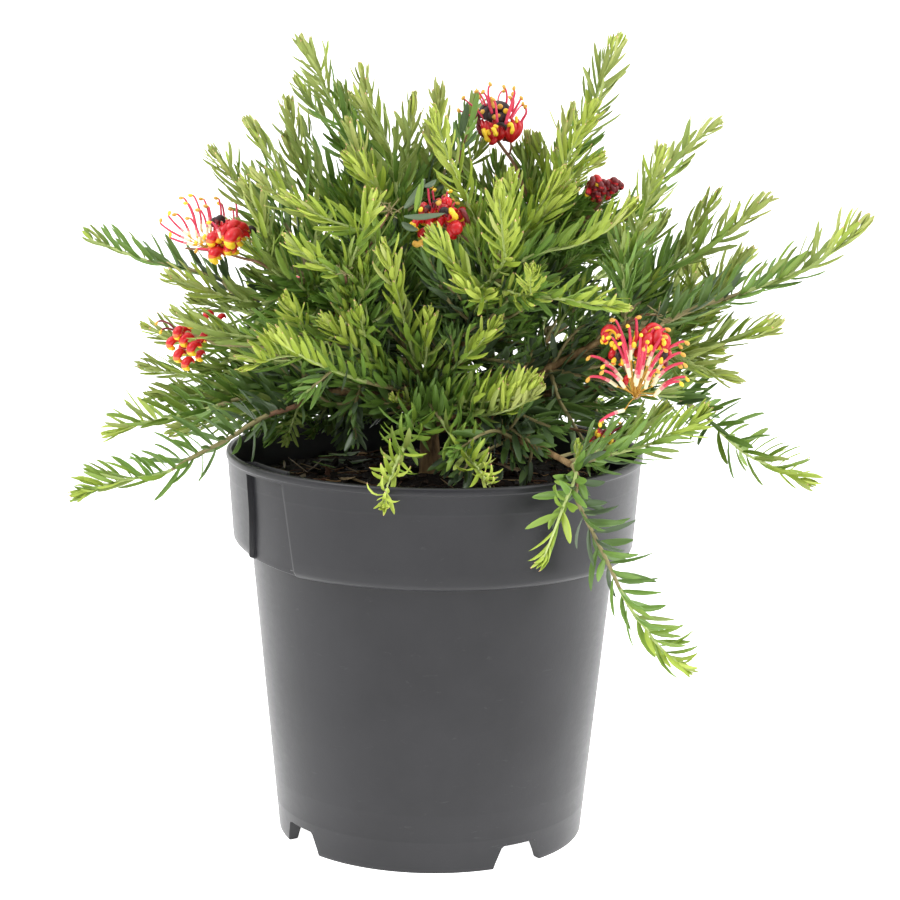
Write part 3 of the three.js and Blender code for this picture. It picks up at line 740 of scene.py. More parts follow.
    ("G7", (1.09, 2.00, 19.85), (5.82, 3.50, 19.09), -0.1, 6, "old"),
    ("G8", (2.01, 1.00, 19.94), (8.18, 2.00, 19.29), -0.1, 5, "dark"),
    ("G9", (3.80, -1.00, 20.48), (9.34, -1.00, 20.01), -0.1, 4.5, "dark"),
    ("S2b", (-8.29, 0.00, 24.10), (-11.33, 0.00, 24.66), -0.1, 1.6, "dark"),
    ("S7c", (-9.29, 1.00, 20.43), (-13.40, 1.00, 20.09), -0.2, 1.4, "side"),
    ("D2", (-0.55, -1.80, 20.69), (4.33, -8.40, 22.49), -0.9, -2.0, "comb"),
    ("D3", (0.00, -3.00, 20.76), (3.65, -6.40, 20.94), -0.3, 3.0, "droop"),
    ("F3b", (0.08, 2.00, 26.28), (-0.44, 3.00, 29.59), 0, 2.8, "dark"),
    ("F3c", (-0.11, 1.00, 26.85), (0.85, 2.50, 30.11), 0, 2.6, "dark"),
    ("F3d", (-0.94, 2.00, 26.73), (-1.54, 3.00, 29.49), 0, 2.8, "dark"),
    ("F3e", (0.53, 0.00, 27.05), (0.32, -1.00, 29.39), 0, 5, "old"),
    ("G10", (-6.23, 0.00, 19.99), (-6.86, -1.50, 18.12), 0, 3, "droop"),
    ("G11", (-7.47, 2.00, 19.63), (-8.65, 1.50, 18.10), 0, 4.6, "dark"),
    ("G12", (-4.96, 2.00, 19.76), (-5.92, 1.00, 18.04), 0, 4.6, "droop"),
    ("G13", (-4.31, 3.00, 19.61), (-5.03, 3.50, 17.98), 0, 5.5, "old"),
    ("N2", (-0.15, 2.50, 29.55), (-0.56, 3.00, 32.62), 0, 0.2, "plain"),
    ("G14", (-5.06, 4.00, 19.43), (-8.24, 3.50, 18.22), 0, 4, "dark"),
    ("G15", (-5.55, 6.00, 19.48), (-9.02, 6.00, 18.45), 0, 4, "dark"),
    ("G16", (-6.29, 1.00, 19.35), (-7.79, 0.00, 18.10), 0, 5, "dark"),
    ("I4", (5.79, 3.00, 19.75), (7.85, 4.00, 18.36), 0, 5, "dark"),
    ("I5", (7.09, 1.00, 20.01), (9.74, 1.50, 18.93), 0, 4, "dark"),
    ("F3f", (1.43, 2.00, 28.00), (1.22, 3.00, 30.35), 0, 3, "dark"),
    ("F3g", (0.05, 2.50, 28.40), (-0.09, 3.50, 30.85), 0, 2.6, "dark"),
    ("F3h", (-0.70, 2.50, 29.08), (-1.01, 3.20, 31.32), 0, 2.6, "dark"),
    ("F3i", (2.17, 2.00, 27.55), (2.06, 2.50, 29.21), 0, 3, "dark"),
    ("S13b", (-3.57, 2.50, 31.33), (-4.71, 3.00, 34.29), 0, 3.0, "dark"),
    ("S12c", (-4.98, 1.50, 30.02), (-6.39, 2.00, 32.78), 0, 3.2, "dark"),
    ("S10c", (-7.23, 1.00, 28.43), (-8.81, 1.50, 30.87), 0, 3.2, "dark"),
    ("D4", (-0.55, -1.90, 20.60), (4.55, -8.10, 22.05), -0.95, -1.5, "comb"),
]
# single leaves that stand out: base, point, width, colour class, curl
LONE = [
    ((-7.01, 3.48, 16.75), (-5.78, 0.18, 16.60), 0.08, 7, 0.05),
    ((-5.41, 2.84, 16.75), (-5.85, 0.65, 16.60), 0.08, 7, 0.05),
    ((-5.82, 2.56, 16.75), (-4.60, 1.71, 16.60), 0.1, 3, 0.05),
    ((-5.61, 3.83, 16.75), (-4.76, 4.94, 16.60), 0.1, 3, 0.05),
    ((-7.15, 2.71, 16.75), (-7.00, 1.29, 16.60), 0.1, 7, 0.05),
    ((-6.35, 2.03, 16.75), (-5.28, 1.17, 16.60), 0.07, 7, 0.05),
    ((-4.22, 1.45, 16.75), (-3.39, 0.35, 16.60), 0.08, 7, 0.05),
    ((0.22, -1.08, 16.75), (0.91, -2.80, 16.60), 0.07, 7, 0.05),
    ((-4.03, 2.45, 16.75), (-3.05, 4.05, 16.60), 0.12, 6, 0.05),
    ((1.59, -0.05, 16.75), (2.60, -0.63, 16.60), 0.08, 7, 0.05),
    ((-1.47, -4.90, 29.01), (0.34, -4.90, 29.02), 0.42, 6, 0.25),
    ((-1.48, -4.40, 29.31), (-0.46, -4.40, 30.54), 0.48, 6, 0.3),
    ((-1.55, -4.80, 28.74), (-0.85, -5.00, 28.34), 0.42, 6, 0.3),
    ((-0.63, -4.20, 30.26), (-0.02, -4.20, 30.44), 0.4, 6, 0.6),
    ((-0.99, -4.90, 29.19), (-0.81, -4.90, 30.44), 0.22, 2, 0.15),
    ((-0.87, -4.80, 29.31), (-0.67, -4.80, 30.69), 0.2, 3, 0.15),
    ((1.33, -0.40, 32.61), (1.72, -0.70, 34.22), 0.3, 3, 0.15),
    ((1.04, 0.10, 32.40), (1.22, -0.10, 33.75), 0.3, 5, 0.15),
    ((0.95, 0.30, 32.16), (1.05, 0.10, 33.38), 0.26, 5, 0.1),
    ((1.17, -0.50, 32.30), (1.83, -1.00, 33.09), 0.36, 3, 0.3),
    ((0.92, -0.30, 31.58), (1.84, -0.90, 32.47), 0.3, 5, 0.2),
    ((0.78, 0.40, 31.84), (0.67, 0.40, 32.91), 0.24, 4, 0.2),
    ((0.96, 0.00, 31.56), (0.54, 0.20, 32.83), 0.24, 4, 0.2),
    ((-6.49, -2.60, 25.94), (-7.36, -2.80, 27.37), 0.34, 2, 0.35),
    ((10.18, -1.50, 20.79), (12.30, -2.20, 21.53), 0.30, 4, -0.3),
    ((10.87, -1.00, 20.31), (12.22, -1.40, 20.76), 0.32, 5, -0.2),
]
SIZES = {"NT": 0.8, "T": 0.8, "R4": 0.8, "R5": 0.8, "Z": 0.7, "MM3": 0.7, "MM4": 0.7, "QQ": 0.78}
# the shoots of the outer crown have a paler, duller green than the ones towards the front
VIVID = set("L H TF O J K Q Q2 PP QQ V V2 W A B C D E F G X Y Z NT S18 S19 S20 S16b S T CC BB AA DK DK2 DK3 DK4 D2 D3 S9 S7 DD".split())
# stems whose whole line can be followed: points between the two ends (cm)
MIDS = {
    "S1": [(-9.38, 1.00, 24.88), (-9.84, 1.10, 25.37), (-10.40, 1.20, 25.62), (-11.37, 1.30, 25.83), (-12.21, 1.40, 25.99), (-13.18, 1.50, 26.15), (-13.88, 1.60, 26.36), (-14.58, 1.70, 26.61), (-15.32, 1.80, 26.87), (-15.89, 1.90, 27.04)],
    "S9": [(-7.71, -2.20, 19.65), (-9.26, -2.96, 18.77), (-10.62, -3.72, 18.16), (-11.95, -4.48, 17.48), (-13.80, -5.24, 17.25)],
    "S7": [(-9.39, 0.00, 19.99), (-10.37, 0.12, 19.63), (-12.31, 0.25, 19.11), (-13.34, 0.38, 18.89)],
    "KK": [(10.26, -3.00, 24.40), (11.76, -2.86, 25.07), (13.09, -2.71, 25.47), (14.37, -2.57, 25.92), (15.26, -2.43, 26.27), (16.46, -2.29, 26.76), (17.17, -2.14, 27.25)],
    "FF": [(12.66, 0.50, 22.86), (13.66, 0.50, 23.06), (14.79, 0.50, 23.35)],
    "EE": [(11.25, -1.60, 22.37), (11.92, -1.73, 22.13), (12.63, -1.87, 21.80)],
    "BB": [(7.29, -7.60, 19.11), (9.20, -7.70, 19.68), (10.07, -7.80, 20.19), (10.86, -7.90, 20.52)],
    "DD": [(12.37, 1.50, 19.43), (13.29, 1.60, 18.53), (14.45, 1.70, 17.54), (15.65, 1.80, 16.97), (16.71, 1.90, 16.44)],
    "CC": [(6.05, -8.40, 17.47), (6.36, -8.52, 16.80), (6.71, -8.64, 16.14), (7.15, -8.77, 15.30), (7.59, -8.89, 14.46), (8.03, -9.01, 13.53), (8.61, -9.13, 12.56), (9.13, -9.26, 11.94), (9.69, -9.38, 11.23)],
    "AA": [(5.59, -9.20, 17.50), (5.23, -10.10, 16.78)],
    "X": [(-0.66, -2.80, 20.31), (-0.91, -3.90, 20.00), (-1.10, -5.00, 19.57), (-1.30, -6.10, 19.15), (-1.61, -7.20, 18.69), (-1.84, -8.30, 18.21), (-2.02, -9.40, 17.82)],
    "Y": [(-0.31, -2.80, 20.54), (0.15, -3.83, 20.05), (0.60, -4.87, 19.57), (1.09, -5.90, 19.14), (1.61, -6.93, 18.69), (2.04, -7.97, 18.33)],
    "D": [(-0.27, -2.20, 20.62), (1.16, -3.65, 20.80), (2.81, -5.10, 21.06), (3.72, -6.55, 21.58)],
    "D2": [(-0.27, -2.60, 20.65), (1.16, -4.20, 20.84), (2.79, -6.00, 21.21), (3.61, -7.40, 21.72)],
    "DK": [(3.06, -4.60, 19.91), (4.01, -5.60, 19.40)],
}
ALL_LIMB = [(name, i, p) for name, (line, _) in LIMBS.items() for i, p in enumerate(line[:: 3]) if i > 1]
LIMB_PTS = np.array([p for _, _, p in ALL_LIMB] + [TRUNK[-1]])


def attach(root, tip):
    """The place on a bough that a shoot grows on from."""
    away = unit(np.asarray(tip) - root)
    gap = LIMB_PTS - root
    dist = np.linalg.norm(gap, axis=1)
    ahead = (gap * away).sum(1)
    i = int(np.argmin(dist + 1.2 * np.clip(ahead, 0, None)))
    return LIMB_PTS[i], dist[i]


def shoot_path(root, tip, bow, start=None, mids=None):
    root, tip = np.asarray(root, float), np.asarray(tip, float)
    curve = bowed(root, tip, bow, 7) if mids is None else np.vstack([root, mids, tip])
    if start is None:
        start, gap = attach(root, tip)
    else:
        gap = float(np.linalg.norm(np.asarray(start) - root))
    if gap > 0.35:
        if gap > 2.5:
            mid = (np.asarray(start) + root) / 2
            mid = mid + rng.normal(0, 0.12, 3) - unit(curve[1] - root) * 0.12 * gap
            pts = np.vstack([start, mid, curve])
        else:
            pts = np.vstack([start, curve])
    else:
        pts = np.vstack([start, curve[1:]])
    return spline(pts, 0.1), gap


THINNED = set("S14 S12c S10c S6d S6e EE2 I3".split())
for _i, (_name, _root, _tip, _bow, _age, _kind) in enumerate(SHOOTS):
    _p, _gap = shoot_path(_root, _tip, _bow, mids=MIDS.get(_name))
    _p = _p[: -4 if len(_p) > 16 else -1]
    thin = 0.085 if _kind in ("hang", "droop") or _name == "PD" else 0.125
    leaf_shoot(_p, _age, _kind, 100 + _i, bare=0.1 + 0.25 * _gap, r_max=thin, old=0.04 if _kind == "stand" else 0.17, size=SIZES.get(_name, 1.0), pale=_name not in VIVID, sky=_name in THINNED)

for _a, _b, _w, _c, _k in LONE:
    _a, _b = np.array(_a), np.array(_b)
    _t = unit(_b - _a)
    for key, val in dict(P=_a, T=_t, N=across(_t, (0.0, -0.6, 0.8)), L=float(np.linalg.norm(_b - _a)), W=_w, K=_k,
                         side=0.02, twist=0.1, cls=_c, pink=False, form=1, depth=0.8).items():
        FIELDS[key].append(np.array([val]))


# ------------------------------------------------------------------ the side away from the front, and the body of the crown
CENTRE = np.array([0.3, 0.8, 22.5])


def toward(az, rise):
    a, r = math.radians(az), math.radians(rise)
    return np.array([math.cos(r) * math.cos(a), math.cos(r) * math.sin(a), math.sin(r)])


def nearest_limb(names, p, low=0.35):
    best = None
    for n in names:
        line = LIMBS[n][0]
        part = line[int(low * len(line)) :]
        d = np.linalg.norm(part - p, axis=1)
        j = int(np.argmin(d))
        if best is None or d[j] < best[0]:
            best = (d[j], part[j])
    return best[1]


BACK_LIMBS = ("back_left", "back", "back_right", "left_high", "top_right", "right_low", "left_low")
BACK_SHOOTS = 44
for _i in range(BACK_SHOOTS):
    g = np.random.default_rng(500 + _i)
    az = 12 + 156 * ((_i * 0.6180339) % 1.0) + g.uniform(-4, 4)
    rise = [-12, 4, 18, 34, 52][_i % 5] + g.uniform(-7, 7)
    reach = 13.6 - 0.05 * max(rise, 0) * 0.9 + g.uniform(-1.4, 0.9)
    edge = min(az, 180 - az)
    reach -= max(0, 30 - edge) * 0.06
    tip = CENTRE + toward(az, rise) * reach
    tip[1] = min(tip[1], 13.3)
    top = 28.6 + g.uniform(-0.8, 0.8) - 0.12 * max(tip[1], 0)
    tip[2] = min(tip[2], top)
    if tip[2] < 18.8 and math.hypot(tip[0], tip[1]) < 10.5:
        tip[2] = 19.2
    long = g.uniform(6.0, 8.5)
    root = tip - unit(tip - CENTRE + np.array([0, 0, 1.5])) * long
    start = nearest_limb(BACK_LIMBS, root)
    _p, _gap = shoot_path(root, tip, g.uniform(-0.6, 0.1), start)
    leaf_shoot(_p, g.uniform(-0.8, 1.0), ("plain", "side", "plain", "full")[_i % 4], 600 + _i, bare=0.2 + 0.3 * _gap, old=0.2, pale=_i % 3 > 0)

CLUMPS = {
    "clump_left": ((-5.0, 0.0, 24.3), (2.5, 2.4, 2.5), 18, "left_high"),
    "clump_left_front": ((-3.3, -3.3, 25.0), (2.0, 2.0, 2.4), 16, "left_front"),
    "clump_top_left": ((-2.4, 0.8, 28.1), (2.8, 2.6, 2.6), 20, "top_left"),
    "clump_centre": ((2.0, -2.8, 26.2), (2.7, 2.3, 2.5), 20, "centre"),
    "clump_top_right": ((5.0, 0.6, 28.0), (2.9, 2.7, 2.4), 20, "top_right"),
    "clump_right": ((8.0, -0.8, 24.2), (2.7, 2.5, 2.5), 18, "right"),
    "clump_back": ((0.8, 5.4, 25.2), (3.8, 2.7, 3.2), 24, "back"),
}
for _ci, (_name, (_c, _size, _n, _limb)) in enumerate(CLUMPS.items()):
    _c, _size = np.array(_c), np.array(_size)
    out = unit(_c - CENTRE)
    line = LIMBS[_limb][0]
    for _j in range(_n):
        g = np.random.default_rng(900 + 50 * _ci + _j)
        way = unit(g.normal(0, 1, 3) + 0.55 * out + np.array([0, -0.15, 0.15]))
        tip = _c + way * _size * g.uniform(0.8, 1.2)
        start = line[int(g.uniform(0.5, 0.98) * (len(line) - 1))]
        mid = start + (tip - start) * 0.5 + g.normal(0, 0.25, 3)
        path = spline(np.vstack([start, mid, tip]), 0.1)
        if length_of(path) < 1.5 or (unit(tip - start)[1] < -0.8 and tip[1] < -3.5):
            continue
        age = g.uniform(2.5, 6.0) - 1.2 * max(way[2], 0)
        leaf_shoot(path, age, "fill", 2000 + 50 * _ci + _j, bare=0.2, old=0.35)

# twigs through the middle of the crown, between the boughs
for _i in range(120):
    g = np.random.default_rng(3000 + _i)
    az = (_i * 137.508) % 360 + g.uniform(-10, 10)
    rise = g.uniform(-5, 62)
    reach = g.uniform(4.5, 8.8)
    tip = np.array([0.3, 0.6, 21.3]) + toward(az, rise) * reach * np.array([1.12, 1.0, 0.95])
    start = nearest_limb(tuple(LIMBS), tip - toward(az, rise) * 3.2, 0.2)
    mid = (start + tip) / 2 + g.normal(0, 0.3, 3)
    path = spline(np.vstack([start, mid, tip]), 0.1)
    if length_of(path) < 1.2 or length_of(path) > 8 or (unit(tip - start)[1] < -0.8 and tip[1] < -3.5):
        continue
    leaf_shoot(path, g.uniform(4.5, 8.5), "fill", 3200 + _i, bare=0.3, old=0.4)

# old broad leaves low down, over the soil
for _i in range(34):
    g = np.random.default_rng(4000 + _i)
    az = (_i * 137.508) % 360 + g.uniform(-12, 12)
    if 195 < az < 262 and _i % 3:
        continue
    reach = g.uniform(3.4, 7.6)
    tip = np.array([0.2, 0.2, g.uniform(17.6, 20.6)]) + toward(az, 0) * reach
    start = nearest_limb(("left_low", "right_low", "front_right", "back_left", "back_right"), tip, 0.1)
    if np.linalg.norm(tip - start) < 1.0:
        continue
    mid = (start + tip) / 2 + np.array([0, 0, 0.5]) + g.normal(0, 0.2, 3)
    path = spline(np.vstack([start, mid, tip]), 0.1)
    leaf_shoot(path, g.uniform(6, 9), "old", 4200 + _i, bare=0.9, old=0.45, size=g.uniform(0.8, 1.05))


# ------------------------------------------------------------------ blossom
BLOOM_MATS = [
    plain("bloom_gold", (204, 156, 64), 0.5, 0.4, (900.0, 0.2, 0.0002)),
    plain("bloom_cream", (232, 226, 190), 0.6, 0.4, (900.0, 0.3, 0.0002)),
    plain("bloom_pink", (200, 48, 78), 0.42, 0.5, (900.0, 0.15, 0.0002)),
    plain("bloom_red", (188, 14, 26), 0.34, 0.5, (900.0, 0.1, 0.0002)),
    plain("bloom_orange", (226, 96, 34), 0.38, 0.5, (900.0, 0.1, 0.0002)),
    plain("bloom_yellow", (238, 196, 44), 0.42, 0.5, (900.0, 0.15, 0.0002)),
    plain("bloom_maroon", (106, 16, 26), 0.4, 0.5, (900.0, 0.2, 0.0002)),
    plain("bloom_spent", (40, 24, 26), 0.55, 0.4, (900.0, 0.4, 0.0003)),
    plain("bloom_blush", (226, 140, 140), 0.5, 0.4, (900.0, 0.2, 0.0002)),
]
GOLD, CREAM, ROSE, RED, ORANGE, YELLOW, MAROON, SPENT, BLUSH = range(9)
bloom = Pile()


def spread_slots(n, sides, marks):
    """One slot for each ring of a tube from (upto, slot) marks over 0..1."""
    t = (np.arange(n - 1) + 0.5) / (n - 1)
    out = np.full(n - 1, marks[-1][1])
    for upto, sl in reversed(marks):
        out[t <= upto] = sl
    return np.repeat(out, sides)


def floret(hub, tip, g, ped=0.5, foot=(0.14, 0.40), r=(0.095, 0.06), knob=0.12, tone=ROSE, bend=0.07, hook=None, pale=CREAM):
    """An open floret: thin stalk, pale swollen foot, long curved style and its knob."""
    hub, tip = np.asarray(hub, float), np.asarray(tip, float)
    run = tip - hub
    length = float(np.linalg.norm(run))
    t = unit(run)
    if hook is None:
        hook = np.array([0, 0, -1.0]) + g.normal(0, 0.25, 3)
    side = across(t, -np.asarray(hook, float))
    pts = [
        hub,
        hub + run * 0.25 + side * bend * 0.4 * length,
        hub + run * 0.55 + side * bend * length,
        hub + run * 0.85 + side * bend * 0.8 * length,
        tip + side * 0.02,
        tip + (t * 0.4 - side) * knob,
    ]
    p = spline(pts, 0.055)
    s = np.linspace(0, length_of(p), len(p))
    total = s[-1]
    a, b = ped, ped + foot[1]
    rr = np.interp(s, [0, max(a - 0.03, 0), a + foot[1] * 0.22, a + foot[1] * 0.6, b + 0.1, total], [0.028, 0.032, foot[0] * 0.85, foot[0], r[0], r[1]])
    v, f = tube(p, rr, 8, True)
    u = (s[:-1] + s[1:]) / 2
    sl = np.where(u < a, GOLD, np.where(u < a + 0.05, YELLOW, np.where(u < b, pale, np.where(u < total - 0.10, tone, GOLD))))
    bloom.add(v, f, [np.repeat(sl, 8), YELLOW])
    ax = unit(p[-1] - p[-3])
    x = across(ax)
    axes = np.stack([x, np.cross(ax, x), ax])
    bloom.add(*ball(p[-1] + ax * 0.02, knob * g.uniform(0.9, 1.1), (0.9, 0.85, 1.15), axes), slots=[YELLOW if g.random() < 0.3 else GOLD] * 2)


def style(hub, base, tip, g, foot=(0.088, 0.55), r=(0.074, 0.048), knob=0.105, tone=ROSE, bend=0.08, up=(0.0, 0.0, 1.0), pale=CREAM):
    """An open floret seen whole: its stalk runs from the hub to base, its long style on to the tip."""
    hub, base, tip = (np.asarray(x, float) for x in (hub, base, tip))
    run = tip - base
    length = float(np.linalg.norm(run))
    t = unit(run)
    side = across(t, np.asarray(up, float))
    first = (hub + base) / 2 + side * 0.03
    pts = [
        hub,
        first,
        base,
        base + run * 0.30 + side * bend * 0.75 * length,
        base + run * 0.62 + side * bend * 1.05 * length,
        base + run * 0.88 + side * bend * 0.62 * length,
        tip,
        tip + (t * 0.25 - side) * knob * 0.9,
    ]
    p = spline(pts, 0.055)
    k = int(np.argmin(np.linalg.norm(p - base, axis=1)))
    s = np.linspace(0, length_of(p), len(p))
    total, a = s[-1], s[k]
    b = a + foot[1]
    rr = np.interp(s, [0, max(a - 0.04, 0.001), a + 0.03, a + foot[1] * 0.35, a + foot[1] * 0.75, b + 0.12, total], [0.020, 0.023, foot[0] * 0.95, foot[0], foot[0] * 0.92, r[0], r[1]])
    v, f = tube(p, rr, 8, True)
    u = (s[:-1] + s[1:]) / 2
    sl = np.where(u < a - 0.02, GOLD, np.where(u < a + 0.05, YELLOW, np.where(u < a + 0.68 * foot[1], pale, np.where(u < b, BLUSH if pale == CREAM else pale, np.where(u < total - 0.10, tone, GOLD)))))
    bloom.add(v, f, [np.repeat(sl, 8), GOLD])
    ax = unit(p[-1] - p[-3])
    x = across(ax)
    axes = np.stack([x, np.cross(ax, x), ax])
    bloom.add(*ball(p[-1] + ax * 0.03, knob * g.uniform(0.9, 1.08), (0.86, 0.80, 1.18), axes), slots=[YELLOW if g.random() < 0.35 else GOLD] * 2)


def bud(base, out, up, size, g, tone=(RED, ORANGE, YELLOW), turn=1.0):
    """A closed floret: a swollen tube that rolls over on itself, yellow at its mouth."""
    out, up = unit(out), across(unit(out), up)
    pts2 = [(0, 0), (0.13, 0.27), (0.42, 0.44), (0.76, 0.34), (0.88, 0.04), (0.70, -0.20)]
    pts = [np.asarray(base) + (a * out + b * turn * up) * size for a, b in pts2]
    side = np.cross(out, up) * size * g.normal(0, 0.06)
    pts = [q + side * i / 3 for i, q in enumerate(pts)]
    p = spline(pts, 0.05 if size > 0.4 else 0.04)
    q = np.linspace(0, 1, len(p))
    r = size * np.interp(q, [0, 0.10, 0.24, 0.42, 0.62, 0.80, 0.92, 1], [0.05, 0.09, 0.17, 0.27, 0.32, 0.27, 0.22, 0.19])
    v, f = tube(p, r, 12, True)
    a, b, c = tone
    s = spread_slots(len(p), 12, [(0.07, GOLD), (0.72, a), (0.78, b), (1.0, c)])
    bloom.add(v, f, [s, c])
    bloom.add(*ball(p[-1], size * 0.2, (1, 1, 0.9)), slots=[c, c])


def bud_at(centre, size, g, out=(-0.72, -0.55, -0.25), tone=(RED, ORANGE, YELLOW)):
    """A closed floret about that centre, its mouth turned to out."""
    way = unit(np.asarray(out, float) + g.normal(0, 0.13, 3))
    up = across(way, (0.25, 0.0, 1.0))
    bud(np.asarray(centre, float) - (0.46 * way + 0.16 * up) * size, way, (0.25, 0.0, 1.0), size, g, tone)


def arch(points, radii, g, top=RED, under=YELLOW, edge=0.1):
    """A petal rolled to a tube: one colour on its back and another inside its bend."""
    p = spline(points, 0.055)
    q = np.linspace(0, 1, len(p))
    r = np.interp(q, np.linspace(0, 1, len(radii)), radii)
    v, f = tube(p, r, 12, True)
    mid = (np.asarray(points[0]) + np.asarray(points[-1])) / 2
    face = v[f[0]].mean(1)
    along = (p[:-1] + p[1:]) / 2
    inward = unit(mid - along)
    out = unit(face - np.repeat(along, 12, 0))
    lit = (out * np.repeat(inward, 12, 0)).sum(1)
    bloom.add(v, f, [np.where(lit > edge, under, top), top])


def stalk(points, r0, r1, slots=2, band=None):
    p = spline(points, 0.12)
    v, f = tube(p, np.linspace(r0, r1, len(p)), 7, True)
    twigs.add(v, f, [slots, slots])


def fan(n, axis, spread, g):
    """n headings round an axis, evenly spread to that angle."""
    axis = unit(axis)
    x = across(axis)
    y = np.cross(axis, x)
    out = []
    for i in range(n):
        a = i * GOLDEN + g.uniform(-0.3, 0.3)
        r = math.radians(spread) * math.sqrt((i + 0.6) / n)
        out.append(unit(math.cos(r) * axis + math.sin(r) * (math.cos(a) * x + math.sin(a) * y)))
    return out


UP = np.array([0.0, 0.0, 1.0])


def head_buds(hub, axis, n, spread, size, g, tone=(RED, ORANGE, YELLOW), droop=0.6, core=0.25):
    for way in fan(n, axis, spread, g):
        flat = unit(way - 0.3 * UP)
        bud(np.asarray(hub) + way * core * g.uniform(0.5, 1.1), flat, UP, size * g.uniform(0.85, 1.12), g, tone, 1.0 if g.random() < 0.85 else -1.0)


# F6: the open head at the right, its styles fanned from one hub
g = np.random.default_rng(61)
HUB6 = np.array((8.63, -6.00, 21.43))
STYLES6 = [
    ((7.64, -6.60, 24.85), (8.34, -6.50, 22.72), 0.05),
    ((8.56, -6.20, 24.90), (8.41, -6.20, 23.33), -0.05),
    ((8.21, -7.00, 24.65), (8.33, -6.80, 23.12), 0.04),
    ((9.37, -6.20, 24.47), (8.87, -6.30, 22.92), 0.05),
    ((9.83, -6.30, 24.47), (8.98, -6.30, 23.40), 0.06),
    ((7.83, -7.20, 24.29), (8.23, -6.80, 22.90), 0.05),
    ((8.65, -7.80, 24.41), (8.54, -7.00, 22.20), -0.06),
    ((9.68, -6.90, 24.23), (9.06, -6.60, 22.88), 0.05),
    ((10.65, -6.50, 23.95), (9.13, -6.40, 22.63), 0.1),
    ((10.41, -6.40, 23.78), (9.29, -6.30, 23.01), 0.1),
    ((10.47, -6.90, 23.51), (9.45, -6.60, 22.63), 0.1),
    ((10.55, -7.40, 23.13), (9.32, -6.80, 22.26), 0.1),
    ((10.33, -7.20, 23.05), (9.28, -6.80, 22.05), 0.1),
    ((10.64, -7.60, 22.57), (9.42, -6.80, 21.74), 0.1),
    ((10.38, -7.80, 22.40), (9.36, -7.00, 21.65), 0.1),
    ((6.59, -6.80, 23.29), (7.75, -6.40, 22.61), 0.1),
    ((7.18, -7.40, 23.01), (7.99, -6.80, 22.29), 0.09),
    ((7.13, -7.60, 22.79), (8.12, -6.90, 21.96), 0.09),
    ((6.56, -7.20, 22.44), (7.80, -6.60, 21.99), 0.1),
    ((7.46, -7.00, 24.17), (8.29, -6.70, 22.54), 0.06),
    ((8.94, -7.40, 24.06), (8.76, -6.80, 22.39), -0.05),
    ((8.75, -8.00, 23.84), (8.57, -7.10, 22.09), -0.05),
    ((9.67, -7.60, 23.75), (9.01, -6.90, 22.32), 0.06),
    ((9.39, -8.00, 22.93), (8.96, -7.10, 21.96), 0.12),
    ((7.87, -7.50, 23.99), (8.32, -6.90, 22.40), 0.05),
]
for t, foot_at, bend in STYLES6:
    style(HUB6 + g.normal(0, 0.05, 3), foot_at, t, g, (0.088, 0.72), bend=bend)
style(HUB6, (8.07, -7.40, 21.09), (7.02, -8.00, 20.66), g, bend=0.06)
for pts, radii in [
    ([(7.18, -6.40, 23.95), (7.21, -6.40, 24.34), (7.44, -6.50, 24.51), (7.70, -6.50, 24.36), (7.79, -6.50, 24.02)], [0.10, 0.14, 0.15, 0.14, 0.10]),
    ([(7.38, -6.20, 23.93), (7.40, -6.20, 24.23), (7.59, -6.20, 24.36), (7.81, -6.20, 24.19)], [0.10, 0.14, 0.15, 0.10]),
    ([(8.41, -6.30, 23.74), (8.56, -6.30, 24.00), (8.60, -6.20, 24.33)], [0.08, 0.12, 0.09]),
    ([(8.96, -5.90, 23.69), (9.05, -5.90, 24.21), (9.33, -5.90, 24.48), (9.67, -5.90, 24.35)], [0.12, 0.18, 0.20, 0.14]),
]:
    arch([np.array(q) for q in pts], radii, g)
